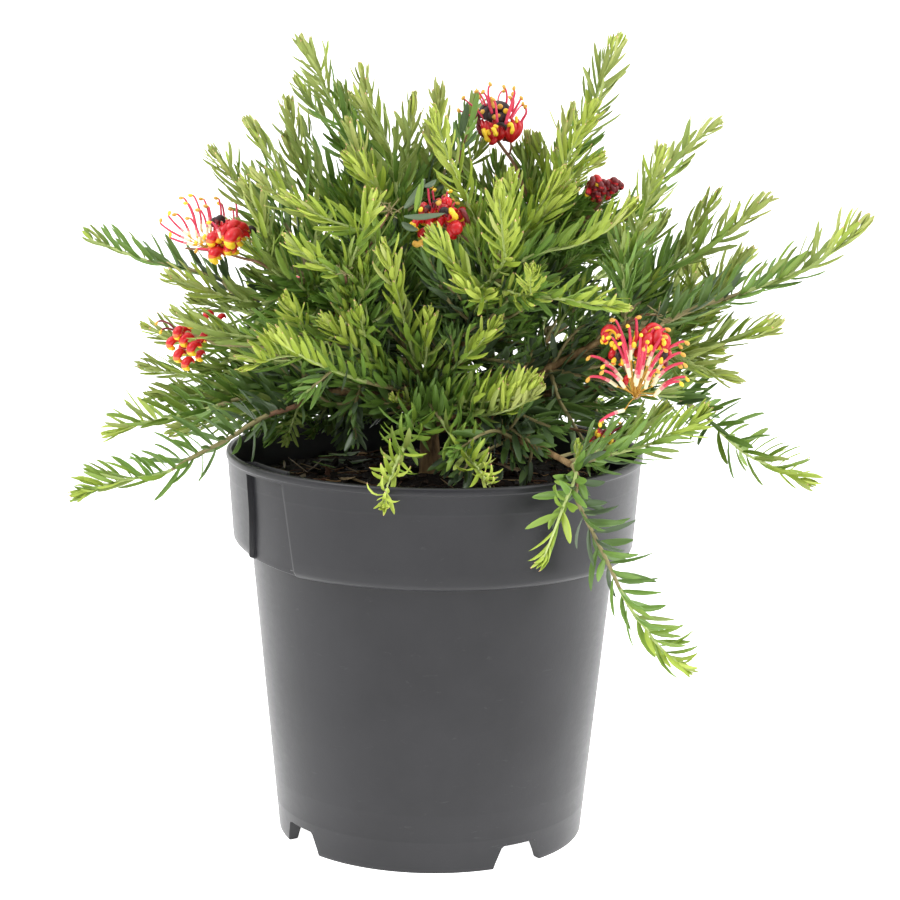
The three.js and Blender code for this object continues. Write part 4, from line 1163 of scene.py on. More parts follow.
for q, size, tone, mouth in [
    ((9.16, -6.10, 23.85), 0.95, (RED, RED, YELLOW), (-0.5, -0.5, -0.7)),
    ((9.46, -6.00, 24.06), 0.90, (RED, RED, YELLOW), (-0.2, -0.5, -0.9)),
    ((9.75, -6.20, 23.96), 0.72, (RED, RED, YELLOW), (0.3, -0.5, -0.8)),
    ((9.00, -5.80, 24.15), 0.62, (RED, RED, RED), (-0.5, -0.5, -0.5)),
    ((8.65, -6.00, 23.83), 0.55, (RED, RED, YELLOW), (-0.6, -0.5, -0.5)),
    ((7.28, -6.40, 24.13), 0.50, (RED, RED, YELLOW), (-0.5, -0.5, -0.9)),
    ((7.61, -6.30, 23.42), 0.50, (RED, RED, ORANGE), (-0.2, -0.5, -0.9)),
    ((7.57, -6.10, 23.70), 0.42, (RED, RED, RED), (0.2, -0.5, -0.9)),
    ((7.83, -6.50, 23.33), 0.42, (SPENT, SPENT, SPENT), (-0.3, -0.5, -0.5)),
    ((7.72, -6.60, 23.08), 0.34, (YELLOW, ORANGE, YELLOW), (-0.5, -0.5, -0.5)),
    ((7.92, -6.60, 23.08), 0.34, (YELLOW, YELLOW, ORANGE), (0.4, -0.5, -0.5)),
    ((9.83, -6.50, 23.35), 0.46, (SPENT, SPENT, MAROON), (-0.3, -0.5, -0.5)),
    ((9.64, -6.70, 23.16), 0.30, (YELLOW, YELLOW, ORANGE), (-0.3, -0.5, -0.7)),
    ((9.79, -6.60, 23.02), 0.36, (MAROON, YELLOW, YELLOW), (0.3, -0.5, -0.5)),
    ((9.97, -6.30, 23.41), 0.44, (RED, RED, MAROON), (0.2, -0.5, -0.5)),
    ((8.20, -6.60, 22.30), 0.44, (RED, RED, RED), (-0.3, -0.5, -0.5)),
    ((8.80, -5.80, 23.37), 0.50, (RED, ORANGE, YELLOW), (-0.3, -0.5, -0.5)),
    ((9.25, -5.70, 23.31), 0.50, (RED, ORANGE, YELLOW), (-0.3, -0.5, -0.5)),
]:
    bud_at(q, size, g, mouth, tone)
for q in [(7.13, -6.50, 23.92), (7.28, -6.50, 23.90), (7.53, -6.60, 23.81), (7.18, -6.60, 24.07), (7.67, -6.60, 23.68), (9.07, -6.70, 23.59), (9.20, -6.70, 23.68), (8.99, -6.60, 23.70), (9.74, -6.80, 23.92), (9.69, -6.80, 24.13), (8.45, -6.90, 23.83)]:
    bloom.add(*ball(np.array(q), 0.12, (0.9, 0.9, 1.2)), slots=[YELLOW, YELLOW])
# the stalks behind them and the dry thread-like bracts round the hub
for way in fan(5, (0, 0.15, 1), 62, g):
    p = spline([HUB6, HUB6 + way * 0.5, HUB6 + way * g.uniform(1.0, 1.6) + [0, 0.25, 0.2]], 0.1)
    v, f = tube(p, 0.022, 6, True)
    bloom.add(v, f, [GOLD, GOLD])
    bloom.add(*ball(p[-1], 0.06, (1, 1, 1.3)), slots=[YELLOW, ORANGE])
stalk([HUB6, HUB6 + [0.1, 0.6, -0.15], (8.9, -4.6, 21.4), nearest_limb(("right", "right_low"), np.array([8.6, -2.8, 21.8]))], 0.06, 0.1, 2)

# F1: upper left, styles combed out to the left, swollen buds at the right
g = np.random.default_rng(11)
HUB1 = np.array([-10.7, -1.3, 27.2])
for t, foot_at, bend in [
    ((-11.40, -1.00, 29.33), (-10.74, -1.20, 27.69), -0.06),
    ((-10.99, -0.80, 29.42), (-10.57, -1.10, 27.86), -0.07),
    ((-10.55, -0.60, 29.25), (-10.22, -1.00, 27.99), -0.06),
    ((-11.18, -1.20, 29.10), (-10.76, -1.40, 27.62), -0.07),
    ((-10.30, -0.90, 28.94), (-10.16, -1.20, 27.84), -0.05),
    ((-9.90, -0.30, 29.25), (-9.77, -0.60, 28.05), -0.05),
    ((-9.77, -0.20, 29.01), (-9.63, -0.60, 28.05), -0.05),
    ((-9.20, 0.20, 29.11), (-9.11, -0.40, 28.04), -0.05),
    ((-9.27, -0.20, 28.75), (-9.23, -0.60, 27.88), -0.04),
    ((-10.61, -1.40, 28.83), (-10.26, -1.50, 27.73), -0.07),
    ((-12.06, -1.20, 28.55), (-11.12, -1.40, 27.66), 0.04),
    ((-11.70, -1.00, 28.60), (-11.05, -1.20, 27.55), -0.08),
    ((-11.03, -1.80, 28.50), (-10.56, -1.70, 27.34), -0.08),
    ((-12.41, -1.30, 28.22), (-11.02, -1.50, 27.45), 0.05),
    ((-11.93, -1.70, 27.62), (-10.88, -1.60, 27.28), 0.03),
    ((-10.02, -2.40, 28.40), (-9.62, -2.20, 27.68), -0.08),
]:
    foot_at = np.array(foot_at)
    start = HUB1 + np.array([max(foot_at[0] + 11.6, 0) * 0.75, 0.1, -0.1])
    style(start, foot_at, t, g, (0.07, 0.50), (0.052, 0.042), 0.10, ROSE, abs(bend), (1.0, 0, 0.1) if bend < 0 else (0.4, 0, -1.0))
style((-9.59, -2.00, 27.03), (-9.98, -2.10, 27.10), (-10.68, -2.20, 27.19), g, (0.06, 0.2), (0.055, 0.045), 0.10, ROSE, 0.02, (0, 0, 1.0))
for q, size in [
    ((-9.81, -2.00, 27.61), 0.74),
    ((-9.60, -1.90, 27.78), 0.7),
    ((-9.39, -1.80, 27.95), 0.78),
    ((-8.99, -1.80, 28.04), 0.84),
    ((-8.73, -1.70, 27.95), 0.8),
    ((-8.95, -2.20, 27.68), 0.92),
    ((-8.69, -1.60, 27.63), 0.72),
    ((-9.33, -1.50, 27.52), 0.7),
    ((-9.88, -1.80, 27.27), 0.62),
    ((-9.16, -1.90, 27.21), 0.64),
    ((-8.93, -1.50, 27.21), 0.62),
    ((-9.47, -1.40, 27.19), 0.62),
    ((-9.77, -2.00, 26.90), 0.74),
    ((-9.59, -1.60, 26.95), 0.6),
    ((-9.41, -1.00, 28.09), 0.6),
    ((-9.73, -1.00, 28.00), 0.6),
    ((-8.59, -1.20, 27.77), 0.55),
    ((-10.04, -1.50, 27.60), 0.52),
]:
    bud_at(q, size, g)
for q in [(-10.49, -1.50, 27.50), (-10.29, -1.70, 27.62), (-10.39, -1.60, 27.38), (-10.10, -1.80, 27.49), (-10.66, -1.50, 27.37)]:
    bud_at(q, 0.34, g, (-0.6, -0.5, 0.3), (CREAM, YELLOW, YELLOW))
for q in [(-9.64, -1.90, 28.40), (-9.87, -1.80, 28.30), (-8.32, -1.20, 27.86)]:
    bud_at(q, 0.46, g, (-0.5, -0.5, 0.4), (SPENT, SPENT, MAROON))
stalk([HUB1 + [-0.6, 0, -0.1], HUB1 + [0.9, 0.1, -0.25], HUB1 + [2.0, 0.2, -0.55], (-7.86, -1.40, 26.46), (-5.9, -0.6, 25.0)], 0.05, 0.085, 2)

# F2: lower left, mostly swollen buds
g = np.random.default_rng(12)
HUB2 = np.array([-10.9, -2.3, 23.25])
for t in [(-12.44, -2.20, 23.89), (-12.22, -2.60, 23.58)]:
    floret(np.array((-11.44, -2.40, 23.43)), t, g, 0.02, (0.05, 0.1), (0.052, 0.046), 0.085, MAROON, 0.14, np.array([0, 0, -1.0]), RED)
for q, size in [
    ((-11.43, -2.90, 23.55), 0.6),
    ((-11.62, -2.80, 23.04), 0.62),
    ((-10.98, -3.00, 23.21), 0.64),
    ((-10.66, -3.10, 22.87), 0.66),
    ((-11.34, -2.90, 22.52), 0.62),
    ((-10.98, -3.00, 22.18), 0.6),
    ((-10.45, -2.50, 23.10), 0.55),
    ((-10.87, -2.30, 23.92), 0.55),
    ((-10.14, -2.00, 24.16), 0.52),
    ((-11.21, -2.10, 22.72), 0.6),
    ((-10.53, -2.20, 22.43), 0.5),
    ((-10.29, -1.90, 23.24), 0.5),
    ((-9.60, -1.60, 24.02), 0.42),
    ((-11.22, -1.90, 23.41), 0.55),
]:
    bud_at(q, size, g)
stalk([HUB2 + [-0.3, 0.1, 0.2], HUB2 + [0.5, 0.2, -0.1], (-9.88, -1.90, 22.89), (-7.6, -1.5, 22.6), (-5.2, -0.8, 20.9)], 0.055, 0.11, 1)

# F3: in the middle of the crown
g = np.random.default_rng(13)
HUB3 = np.array([0.05, -3.5, 28.55])
for t, b in [
    ((-0.42, -3.60, 30.13), (-0.27, -3.60, 29.08)),
    ((-0.24, -3.40, 29.98), (-0.06, -3.50, 29.08)),
    ((0.03, -4.20, 29.62), (0.12, -4.00, 28.95)),
    ((0.41, -3.60, 29.96), (0.38, -3.60, 29.05)),
    ((0.73, -3.80, 29.51), (0.47, -3.90, 28.95)),
    ((0.55, -3.40, 29.60), (0.34, -3.50, 28.95)),
    ((0.20, -3.20, 29.75), (0.16, -3.40, 29.07)),
]:
    floret(b, t, g, 0.02, (0.06, 0.1), (0.052, 0.045), 0.09, ROSE, 0.05, np.array([0.3, 0, -1.0]), RED)
for q, size in [
    ((-0.66, -3.90, 29.28), 0.56),
    ((-0.23, -3.70, 29.14), 0.55),
    ((0.38, -3.80, 29.24), 0.6),
    ((0.64, -4.10, 29.06), 0.62),
    ((1.04, -3.50, 29.05), 0.62),
    ((-0.87, -3.90, 28.58), 0.55),
    ((-0.61, -3.70, 28.17), 0.5),
    ((-0.22, -3.70, 28.66), 0.55),
    ((0.26, -3.90, 28.68), 0.55),
    ((-0.01, -3.20, 28.88), 0.6),
    ((-0.45, -3.10, 28.77), 0.6),
    ((0.61, -3.20, 28.62), 0.6),
    ((0.07, -3.00, 29.39), 0.5),
    ((1.13, -3.10, 28.53), 0.5),
]:
    bud_at(q, size, g, (-0.6, -0.6, -0.4), (RED, RED, YELLOW))
bud_at((0.78, -4.20, 28.41), 0.78, g, (-0.5, -0.7, -0.5), (RED, RED, RED))
for q in [(-0.44, -4.20, 29.22), (0.38, -4.30, 29.11), (-0.10, -3.80, 29.41)]:
    bud_at(q, 0.4, g, (-0.2, -0.7, 0.3), (SPENT, MAROON, MAROON))
for pts, r, tone in [
    ([(0.51, -4.50, 29.28), (0.64, -4.65, 29.15), (0.80, -4.50, 28.90)], 0.14, YELLOW),
    ([(-0.79, -4.40, 29.17), (-0.72, -4.40, 29.34)], 0.1, YELLOW),
    ([(-1.23, -4.50, 28.63), (-0.99, -4.50, 28.53)], 0.13, YELLOW),
    ([(-1.05, -4.30, 27.79), (-0.86, -4.40, 27.74), (-0.62, -4.30, 27.88)], 0.15, GOLD),
    ([(0.99, -4.10, 29.28), (1.19, -4.20, 28.99), (1.33, -4.00, 28.53)], 0.13, MAROON),
    ([(0.25, -4.40, 29.55), (0.38, -4.40, 29.73), (0.51, -4.50, 29.48)], 0.15, RED),
    ([(0.12, -4.50, 29.13), (0.27, -4.60, 29.31), (0.43, -4.50, 29.13)], 0.13, SPENT),
    ([(-0.07, -4.50, 29.51), (0.10, -4.50, 29.60)], 0.12, GOLD),
]:
    arch([np.array(q) for q in pts], [r * 0.8, r, r * 0.8, r, r * 0.7], g, tone, tone)
bloom.add(*ball((0.78, -4.60, 28.48), 0.3, (1, 0.7, 1), None, 12, 8), slots=[RED, RED])
stalk([HUB3, (1.14, -3.60, 27.97), (1.67, -3.50, 27.61), (2.2, -3.0, 26.5)], 0.06, 0.09, 2)

# F4: at the top, dark spent middle with styles standing up round it
g = np.random.default_rng(14)
HUB4 = np.array((2.62, 1.00, 32.82))
for pts, w in [
    ([(2.32, -0.20, 33.23), (2.17, -0.30, 33.86), (2.14, -0.30, 34.30), (2.22, -0.30, 34.51)], 1),
    ([(2.32, -0.15, 33.21), (2.11, -0.35, 33.81), (2.02, -0.40, 34.04), (1.90, -0.40, 34.17)], 1),
    ([(2.05, 0.10, 33.53), (1.87, 0.10, 33.92), (1.73, 0.10, 34.10), (1.61, 0.10, 34.17)], 0.8),
    ([(2.56, -0.45, 32.85), (2.52, -0.50, 33.30), (2.47, -0.45, 33.65), (2.37, -0.40, 33.84)], 1),
    ([(2.93, -0.30, 32.76), (3.06, -0.35, 33.25), (3.22, -0.30, 33.77), (3.32, -0.30, 34.12), (3.28, -0.30, 34.34)], 1.15),
    ([(2.98, -0.20, 32.87), (3.14, -0.15, 33.38), (3.19, -0.15, 33.69), (3.13, -0.20, 33.92)], 1.1),
    ([(3.22, 0.10, 33.28), (3.30, 0.10, 33.72), (3.24, 0.10, 34.07)], 0.8),
    ([(2.96, 0.40, 33.52), (2.99, 0.40, 33.97), (2.94, 0.40, 34.24), (2.85, 0.40, 34.37)], 0.9),
    ([(3.14, 0.00, 32.97), (3.38, 0.05, 33.44), (3.58, 0.05, 33.82), (3.63, 0.05, 33.90)], 1.1),
    ([(3.56, 0.20, 32.65), (3.72, 0.20, 32.97), (3.87, 0.20, 33.26), (3.82, 0.20, 33.51)], 1.1),
    ([(1.97, 0.00, 32.95), (1.79, -0.05, 33.20), (1.63, -0.05, 33.38)], 0.9),
    ([(1.88, 0.30, 33.20), (1.52, 0.30, 33.46), (1.16, 0.20, 33.75), (1.03, 0.20, 33.87)], 0.8),
    ([(1.80, 0.30, 32.89), (1.35, 0.30, 33.08), (0.98, 0.30, 33.26), (0.83, 0.30, 33.30)], 0.8),
    ([(2.71, 1.60, 33.19), (2.62, 1.90, 33.72), (2.75, 2.00, 34.08), (2.89, 2.00, 34.12)], 0.8),
    ([(2.17, 1.80, 33.18), (1.90, 2.20, 33.56), (1.80, 2.30, 33.82)], 0.8),
    ([(3.26, 1.60, 32.93), (3.58, 2.00, 33.37), (3.76, 2.10, 33.54)], 0.8),
]:
    p = spline(pts, 0.11)
    v, f = tube(p, np.linspace(0.066 * w, 0.044 * w, len(p)), 8, True)
    bloom.add(v, f, [ROSE, ROSE])
    bloom.add(*ball(p[-1], 0.105, (0.8, 0.8, 1.15), np.array(Matrix.Rotation(g.normal(0, 0.7), 3, "Y"))), slots=[GOLD, GOLD])
bloom.add(*ball((2.47, 0.80, 33.14), 0.46, (1.1, 1, 0.9), None, 12, 8), slots=[SPENT, SPENT])
for pts, r in [
    ([(1.86, 0.10, 32.99), (1.88, 0.20, 33.30), (2.06, 0.30, 33.49), (2.33, 0.40, 33.45)], 0.15),
    ([(2.06, 0.00, 32.93), (2.04, 0.05, 33.22), (2.19, 0.10, 33.37), (2.35, 0.20, 33.21)], 0.17),
    ([(2.26, -0.05, 32.91), (2.24, 0.00, 33.13), (2.33, 0.10, 33.31)], 0.15),
    ([(2.42, 0.50, 33.49), (2.64, 0.50, 33.57), (2.89, 0.40, 33.52), (3.02, 0.30, 33.35), (3.01, 0.30, 33.15)], 0.16),
    ([(2.51, 0.40, 33.34), (2.73, 0.30, 33.41), (2.89, 0.25, 33.29), (2.90, 0.10, 33.05), (2.80, 0.00, 32.85)], 0.17),
    ([(2.66, 0.10, 33.22), (2.74, 0.00, 33.01), (2.68, -0.05, 32.81)], 0.14),
    ([(2.49, -0.15, 32.67), (2.73, -0.30, 32.77), (2.93, -0.30, 32.67), (2.94, -0.25, 32.49)], 0.075),
    ([(1.98, 0.90, 33.17), (2.25, 1.00, 33.46), (2.65, 1.10, 33.53), (2.97, 1.00, 33.41), (3.06, 0.90, 33.14)], 0.2),
]:
    arch([np.array(q) for q in pts], [r * 0.6, r, r * 1.05, r, r * 0.5], g, SPENT, SPENT)
for pts, r, tone in [
    ([(3.18, 0.30, 31.95), (3.06, 0.10, 32.29), (3.01, 0.00, 32.61), (3.12, 0.00, 32.83)], 0.16, RED),
    ([(3.21, 0.30, 31.93), (3.26, 0.10, 32.34), (3.30, 0.05, 32.66), (3.23, 0.10, 32.94)], 0.18, RED),
    ([(3.23, 0.40, 31.94), (3.42, 0.20, 32.29), (3.53, 0.15, 32.61), (3.46, 0.20, 32.96)], 0.17, RED),
    ([(3.26, 0.50, 31.96), (3.52, 0.50, 32.28), (3.65, 0.50, 32.59), (3.69, 0.50, 32.86)], 0.12, RED),
    ([(3.12, 0.50, 31.94), (2.93, 0.30, 32.19), (2.81, 0.10, 32.49), (2.74, 0.10, 32.74)], 0.16, MAROON),
    ([(2.44, 0.40, 31.93), (2.26, 0.20, 32.28), (2.00, 0.20, 32.59), (1.86, 0.30, 32.89)], 0.17, RED),
    ([(2.53, 0.30, 31.92), (2.32, 0.10, 32.24), (2.12, 0.05, 32.51), (2.07, 0.10, 32.86)], 0.17, RED),
    ([(2.58, 0.40, 31.96), (2.59, 0.20, 32.28), (2.54, 0.10, 32.60), (2.42, 0.10, 32.91)], 0.18, RED),
    ([(2.31, 0.50, 32.01), (1.94, 0.40, 32.26), (1.76, 0.40, 32.50), (1.69, 0.50, 32.79)], 0.13, MAROON),
    ([(2.67, 0.30, 32.01), (2.79, 0.05, 32.29), (2.74, -0.05, 32.57)], 0.15, RED),
    ([(2.26, 0.20, 31.83), (2.42, 0.10, 31.97), (2.55, 0.15, 32.15)], 0.15, RED),
    ([(1.80, 0.30, 32.67), (1.68, 0.30, 32.98), (1.70, 0.30, 33.24)], 0.12, MAROON),
    ([(2.73, 1.20, 31.95), (2.45, 1.60, 32.38), (2.26, 1.70, 32.91)], 0.2, RED),
    ([(2.91, 1.30, 31.95), (3.00, 1.80, 32.37), (2.95, 1.80, 32.92)], 0.2, RED),
    ([(3.08, 1.00, 32.02), (3.36, 1.30, 32.41), (3.49, 1.40, 32.81)], 0.18, RED),
    ([(2.50, 1.00, 32.01), (2.09, 1.30, 32.34), (1.90, 1.40, 32.79)], 0.18, RED),
]:
    arch([np.array(q) for q in pts], [r * 0.45, r * 0.9, r * 1.05, r * 0.9, r * 0.45], g, tone, tone)
for pts, r, tone in [
    ([(1.95, -0.05, 32.51), (2.03, -0.12, 32.29), (2.12, 0.00, 32.06), (2.24, 0.10, 31.97)], 0.12, YELLOW),
    ([(2.14, -0.12, 32.47), (2.23, -0.12, 32.27)], 0.1, YELLOW),
    ([(2.38, -0.25, 32.59), (2.45, -0.30, 32.44), (2.54, -0.22, 32.24)], 0.12, YELLOW),
    ([(2.60, -0.30, 32.62), (2.42, -0.30, 32.68)], 0.085, YELLOW),
    ([(3.03, -0.22, 32.69), (3.18, -0.30, 32.75), (3.25, -0.30, 32.59), (3.21, -0.22, 32.34)], 0.1, YELLOW),
    ([(3.43, 0.00, 32.82), (3.42, 0.05, 33.08)], 0.085, YELLOW),
    ([(1.60, 0.40, 33.38), (1.54, 0.40, 33.19), (1.64, 0.35, 33.00)], 0.1, GOLD),
    ([(2.25, -0.12, 33.94), (2.32, -0.20, 33.72), (2.40, -0.20, 33.47)], 0.1, GOLD),
]:
    arch([np.array(q) for q in pts], [r * 0.8, r, r * 0.7, r * 1.05, r * 0.7], g, tone, tone)
for q, r, tone in [((1.92, -0.05, 33.27), 0.13, GOLD), ((2.68, 0.10, 33.51), 0.14, GOLD), ((2.95, 0.00, 33.32), 0.14, YELLOW), ((2.45, -0.15, 33.06), 0.13, GOLD), ((2.62, -0.10, 33.12), 0.1, GOLD), ((2.25, 0.10, 33.75), 0.1, GOLD)]:
    bloom.add(*ball(q, r, (1, 0.6, 0.9)), slots=[tone, tone])
stalk([(2.44, 0.40, 32.18), (2.72, 0.80, 31.80), (2.97, 0.80, 31.47), (3.20, 0.80, 31.18), (3.47, 0.80, 30.73), (4.3, 0.9, 28.6)], 0.075, 0.095, 2)
stalk([(3.19, 0.40, 31.96), (3.22, 0.60, 31.64), (3.14, 0.80, 31.31)], 0.05, 0.05, 2)
stalk([(1.35, 0.00, 32.59), (1.14, 0.40, 31.98), (0.92, 0.80, 31.28), (1.03, 1.20, 30.48)], 0.04, 0.06, 2)

# F5: small dark closed buds, right of the top
g = np.random.default_rng(15)
HUB5 = np.array((7.36, -1.80, 30.13))
for q, size, sort in [
    ((6.74, -2.00, 30.40), 0.49, 1),
    ((6.95, -1.90, 30.44), 0.52, 0),
    ((7.06, -2.10, 30.22), 0.43, 1),
    ((6.79, -2.00, 30.10), 0.43, 1),
    ((6.64, -1.90, 29.94), 0.43, 0),
    ((6.92, -2.00, 29.87), 0.42, 1),
    ((7.24, -1.70, 30.31), 0.39, 2),
    ((7.39, -1.80, 30.25), 0.41, 2),
    ((7.27, -1.90, 30.02), 0.42, 1),
    ((7.52, -1.70, 30.28), 0.42, 0),
    ((7.71, -1.80, 30.36), 0.46, 1),
    ((7.88, -1.70, 30.28), 0.39, 1),
    ((8.00, -1.70, 30.20), 0.35, 1),
    ((7.59, -1.90, 30.07), 0.42, 2),
    ((7.80, -1.80, 30.10), 0.39, 1),
    ((6.57, -1.60, 30.03), 0.35, 2),
    ((7.17, -1.70, 29.93), 0.42, 1),
    ((7.37, -1.80, 29.79), 0.42, 2),
    ((6.73, -1.80, 29.71), 0.39, 2),
    ((7.06, -1.70, 29.66), 0.42, 1),
    ((7.02, -1.40, 30.14), 0.49, 1),
    ((7.51, -1.30, 30.06), 0.49, 1),
    ((6.79, -1.20, 30.16), 0.49, 1),
    ((7.83, -1.20, 30.14), 0.42, 1),
    ((7.29, -0.90, 30.03), 0.49, 2),
]:
    bud_at(q, size, g, (0.5 + g.normal(0, 0.2), -0.6, -0.4), [(RED, MAROON, YELLOW), (MAROON, RED, MAROON), (MAROON, MAROON, RED)][sort])
stalk([HUB5, HUB5 + [-0.2, 0.4, -0.8], (6.0, 0.2, 27.9)], 0.06, 0.09, 2)

# F7: half hidden behind the rim at the right
g = np.random.default_rng(17)
HUB7 = np.array([7.3, -5.5, 19.3])
for t in [(7.21, -5.00, 20.1), (7.99, -5.00, 20.1), (8.38, -5.20, 20.0)]:
    floret(HUB7, t, g, 0.02, (0.06, 0.1), (0.055, 0.05), 0.09, MAROON, 0.1, np.array([0.5, -0.3, -1.0]), MAROON)
for way in fan(9, (0.1, -0.9, 0.2), 70, g):
    bud(HUB7 + way * 0.2, way, UP, 0.42, g, (MAROON, RED, YELLOW))
stalk([HUB7, HUB7 + [0, 0.6, 0.2], (5.6, -3.4, 19.6)], 0.05, 0.08, 2)

# three more on the side away from the front
for _k, (hub, axis) in enumerate([((-3.2, 12.2, 25.6), (-0.2, 1, 0.5)), ((6.3, 11.0, 27.2), (0.4, 1, 0.6)), ((-6.0, 10.6, 24.4), (-0.5, 1, 0.4))]):
    g = np.random.default_rng(70 + _k)
    hub, axis = np.array(hub), unit(axis)
    for i, way in enumerate(fan(10, axis + 0.3 * UP, 60, g)):
        floret(hub + way * 0.1, hub + way * g.uniform(1.8, 2.3), g, 0.3, (0.09, 0.36), (0.06, 0.05), 0.11, ROSE, 0.1, g.normal(0, 0.3, 3) - UP)
    for i, way in enumerate(fan(14, axis - 0.3 * UP, 75, g)):
        bud(hub + way * 0.25, way, UP, g.uniform(0.5, 0.64), g)
    start = nearest_limb(BACK_LIMBS, hub - axis * 3)
    stalk([hub, hub - axis * 1.2 - UP * 0.4, start], 0.055, 0.1, 2)

# dry remains of older heads: bare tan stalks at a node
for _k, c in enumerate([(-2.11, -3.5, 29.1), (-3.99, -5.0, 26.5), (9.77, -3.5, 24.7), (2.71, -4.5, 27.2), (-1.2, 8.0, 27.0)]):
    g = np.random.default_rng(80 + _k)
    c = np.array(c)
    for way in fan(9, (0.2, -0.6 if c[1] < 0 else 0.6, 0.6), 95, g):
        end = c + way * g.uniform(0.35, 0.8)
        p = spline([c - way * 0.1, (c + end) / 2 + g.normal(0, 0.08, 3), end], 0.1)
        v, f = tube(p, np.linspace(0.035, 0.022, len(p)), 5, True)
        twigs.add(v, f, [1, 1])
    start = LIMB_PTS[int(np.argmin(np.linalg.norm(LIMB_PTS - c, axis=1)))]
    stalk([c, (c + start) / 2 + [0, 0, 0.2], start], 0.05, 0.09, 2)


# ------------------------------------------------------------------ pot
ROUND = [208.6, 28.6]  # where each shallow recess in the collar starts (degrees from +X)
WIDE = 17.2
NOTCHES = [34.5, 124.5, 214.5, 304.5]


def recess(az, z):
    """How far (mm) the collar's face is set back there."""
    out = np.zeros_like(az)
    for a0 in ROUND:
        a = (az - a0) % 360
        inside = (a > 0.06) & (a < WIDE) & (z < 175.05)
        out = np.where(inside, 2.5 + 1.3 * a / WIDE, out)
        # its right edge is softly broken
        soft = (a >= WIDE) & (a < WIDE + 0.8) & (z < 175.05)
        out = np.where(soft, 0.25 * (1 - (a - WIDE) / 0.8), out)
    return out


def splay(az, z):
    """The recess grows wider towards its foot: where an even angle goes at that height."""
    low = float(np.clip((174.0 - z) / 40, 0, 1))
    out = np.array(az, float)
    for a0 in ROUND:
        a = (az - a0 + 60) % 360 - 60
        near = (a > -8) & (a < WIDE + 8)
        edge = np.interp(low, [0, 0.47, 0.85, 1], [0.55, 0.5, -1.1, -1.5])
        new = np.interp(a, [-8, 0, WIDE, WIDE + 8], [-8, edge, WIDE - 0.05 + 3.05 * low, WIDE + 8])
        out = np.where(near, az + new - a, out)
    return out


def collar_outer(z):
    return 91.6 + (94.6 - 91.6) * np.clip((z - 134.6) / (175.8 - 134.6), 0, 1)


def collar_inner(z):
    return 89.3 + (92.1 - 89.3) * np.clip((z - 136.3) / (176.0 - 136.3), 0, 1)


def inner_wall(az, z):
    """Inside radius (mm) of the pot above its step."""
    return np.minimum(collar_inner(z), collar_outer(z) - recess(az, z) - 2.0)


def body_r(z):
    return 71.4 + (83.9 - 71.4) * (z - 2.0) / 130.6


angles = np.sort(
    np.unique(
        np.round(
            np.concatenate(
                [np.arange(240) * 1.5 + 0.4]
                + [[a0 - 0.5, a0 - 0.05, a0 + 0.02, a0 + 0.14, a0 + 0.5, a0 + 1.55, a0 + 1.65, a0 + WIDE - 0.4, a0 + WIDE - 0.04, a0 + WIDE + 0.04, a0 + WIDE + 0.4, a0 + WIDE + 0.8] for a0 in ROUND]
            ),
            3,
        )
    )
)
rows = [(0, 0, "p"), (12, 0, "p"), (23.2, 0, "p"), (23.8, 0.25, "p"), (24.0, 0.8, "p"), (25.3, 8.2, "p"), (25.9, 8.5, "p"),
        (45, 8.5, "p"), (64.8, 8.5, "p"), (65.3, 8.2, "p"), (66.4, 0.6, "p"), (66.7, 0.15, "p"), (67, 0, "p"), (70.2, 0, "p"), (70.95, 0.2, "p"), (71.25, 0.7, "p"), (71.4, 2, "p"), (71.5, 3, "p")]
for z, d in [(8, 0), (14.1, 0), (14.5, 0.05), (14.9, 0.05), (15.3, 0.0), (20, 0), (27.0, 0), (27.35, 0.015), (27.7, 0.015), (28.0, 0),
             (45, 0), (70, 0), (95, 0), (115, 0), (128, 0), (131.6, 0)]:
    rows.append((body_r(z) + d, z, "b"))
rows += [(83.9, 132.6, "b"), (84.1, 133.1, "b"), (84.5, 133.5, "b"), (85.1, 133.7, "b"), (86.6, 133.7, "b")]
rows += [(88.2, 133.5, "c"), (89.5, 133.8, "c"), (90.4, 134.4, "c"), (91.0, 135.3, "c"), (collar_outer(136.8), 136.8, "c")]
for z, d in [(142, 0), (150, 0), (158, 0), (166.6, 0), (167.4, 0), (167.6, 0.035), (168.1, 0.035), (169.0, 0.0), (174.7, 0), (175.0, 0)]:
    rows.append((collar_outer(z) + d, z, "c"))
rows += [(collar_outer(175.2), 175.2, "c"), (94.6, 175.45, "r"), (94.65, 175.7, "r"), (94.7, 176.1, "r"), (94.85, 176.35, "r"), (95.1, 176.5, "r"), (95.25, 176.7, "r"), (95.3, 177.1, "r"),
         (95.25, 178.4, "r"), (95.1, 179.0, "r"), (94.8, 179.4, "r"), (94.3, 179.6, "r"), (93.5, 179.6, "r"), (92.9, 179.4, "r"), (92.5, 178.8, "r"), (92.3, 177.6, "r")]
for z in (176.0, 173.5, 168, 160, 150, 142, 137.2, 136.3):
    rows.append((collar_inner(z), z, "i"))
rows += [(88.8, 135.8, "i2"), (83.6, 135.2, "k"), (82.9, 134.8, "k"), (82.3, 133.8, "k")]
for z in (125, 100, 70, 40, 14):
    rows.append((body_r(z) - 2.0, z, "k"))
rows += [(69.9, 11.6, "k"), (69.0, 10.7, "k"), (67.5, 10.5, "k"), (35, 10.5, "k"), (0, 10.5, "k")]

